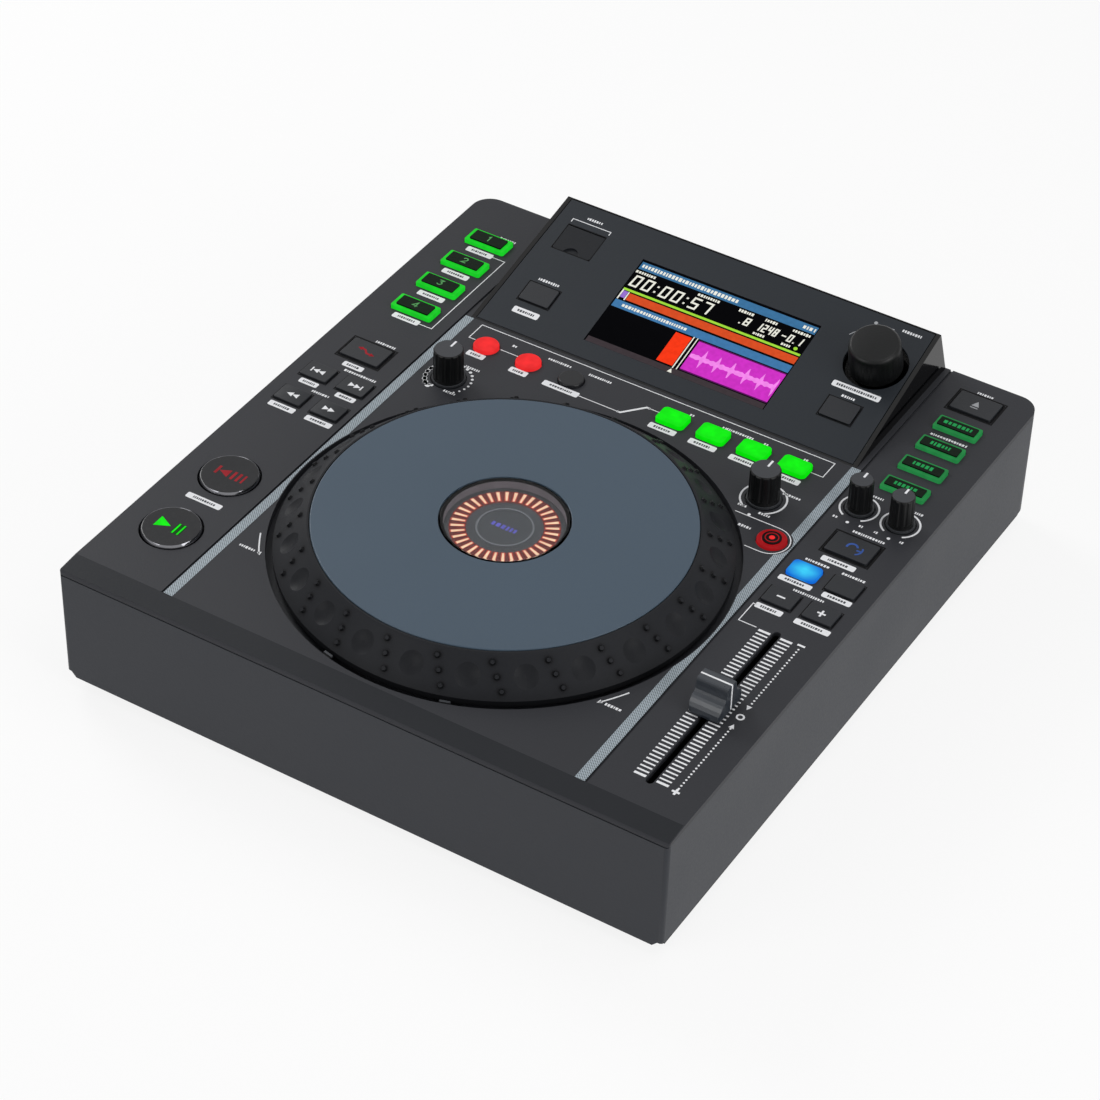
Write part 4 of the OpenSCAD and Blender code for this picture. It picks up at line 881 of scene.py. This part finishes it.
# the camera fitted to the photo: where it looks from, its tilt, its place and its lens
CAM_AZ, CAM_EL, CAM_ROLL = math.radians(30.74), math.radians(40.36), math.radians(-1.70)
CAM_AT = Vector((0.6106, -1.0393, 1.0521))
CAM_LENS = 114.76
back = Vector((math.sin(CAM_AZ) * math.cos(CAM_EL), -math.cos(CAM_AZ) * math.cos(CAM_EL), math.sin(CAM_EL)))
right = Vector((math.cos(CAM_AZ), math.sin(CAM_AZ), 0))
down = (-back).cross(right)
right_r = right * math.cos(CAM_ROLL) + down * math.sin(CAM_ROLL)
down_r = down * math.cos(CAM_ROLL) - right * math.sin(CAM_ROLL)
camera_data = bpy.data.cameras.new("camera")
camera_data.lens = CAM_LENS
camera_data.sensor_width = 36
camera_data.clip_start = 0.05
camera = bpy.data.objects.new("camera", camera_data)
camera.matrix_world = Matrix.Translation(CAM_AT) @ Matrix((right_r, -down_r, back)).transposed().to_4x4()
bpy.context.scene.collection.objects.link(camera)
bpy.context.scene.camera = camera


def soft_light(name, at, aim, size, power):
    """Square area lamp at one point, turned to another."""
    data = bpy.data.lights.new(name, "AREA")
    data.shape = "SQUARE"
    data.size = size
    data.energy = power
    lamp = bpy.data.objects.new(name, data)
    lamp.location = at
    lamp.rotation_euler = (Vector(aim) - Vector(at)).to_track_quat("-Z", "Y").to_euler()
    bpy.context.scene.collection.objects.link(lamp)


soft_light("overhead", (0.55, 0.05, 1.5), (0, 0, 0), 1.1, 6.5)
soft_light("left_back", (-1.25, 0.45, 0.95), (0, 0, 0.05), 0.6, 10)
soft_light("right_side", (1.6, -0.2, 0.6), (0, 0, 0.05), 1.0, 12)
soft_light("front", (-0.7, -1.5, 0.9), (0, 0, 0.05), 1.0, 9.5)


def pale_in_view(tree, dim, pale, share):
    """Mixes in a pale colour for the camera, mirrors and glass, without putting more light on the object."""
    n, links = tree.nodes, tree.links
    path = n.new("ShaderNodeLightPath")
    seen = path.outputs["Is Camera Ray"]
    for ray in ("Is Glossy Ray", "Is Transmission Ray"):
        either = n.new("ShaderNodeMath")
        either.operation = "MAXIMUM"
        links.new(seen, either.inputs[0])
        links.new(path.outputs[ray], either.inputs[1])
        seen = either.outputs[0]
    part = n.new("ShaderNodeMath")
    part.operation = "MULTIPLY"
    part.inputs[1].default_value = share
    links.new(seen, part.inputs[0])
    mix = n.new("ShaderNodeMixShader")
    links.new(part.outputs[0], mix.inputs[0])
    links.new(dim.outputs[0], mix.inputs[1])
    links.new(pale.outputs[0], mix.inputs[2])
    return mix.outputs[0]


world = bpy.data.worlds.new("studio")
world.use_nodes = True
bpy.context.scene.world = world
room = world.node_tree
ambient = room.nodes["Background"]
ambient.inputs["Color"].default_value = (1, 1, 1, 1)
ambient.inputs["Strength"].default_value = 0.22
white = room.nodes.new("ShaderNodeBackground")
white.inputs["Color"].default_value = (1, 1, 1, 1)
white.inputs["Strength"].default_value = 1
room.links.new(pale_in_view(room, ambient, white, 1), room.nodes["World Output"].inputs["Surface"])

floor_mesh = bmesh.new()
bmesh.ops.create_grid(floor_mesh, x_segments=8, y_segments=8, size=3)
floor_data = bpy.data.meshes.new("floor")
floor_mesh.to_mesh(floor_data)
floor_mesh.free()
floor = bpy.data.objects.new("floor", floor_data)
floor.location.z = -0.0002
bpy.context.scene.collection.objects.link(floor)
paper, paper_nodes, paper_links, paper_shader = new_material("floor_paper")
add_grain(paper_nodes, paper_links, paper_shader, (0.9, 0.9, 0.9), 0.01, 60, 0.05, 0.9, 0.05)
paper_glow = paper_nodes.new("ShaderNodeEmission")
paper_glow.inputs["Color"].default_value = (1, 1, 1, 1)
paper_links.new(pale_in_view(paper.node_tree, paper_shader, paper_glow, 0.85),
                paper_nodes["Material Output"].inputs["Surface"])
floor_data.materials.append(paper)

bpy.context.scene.view_settings.view_transform = "Standard"
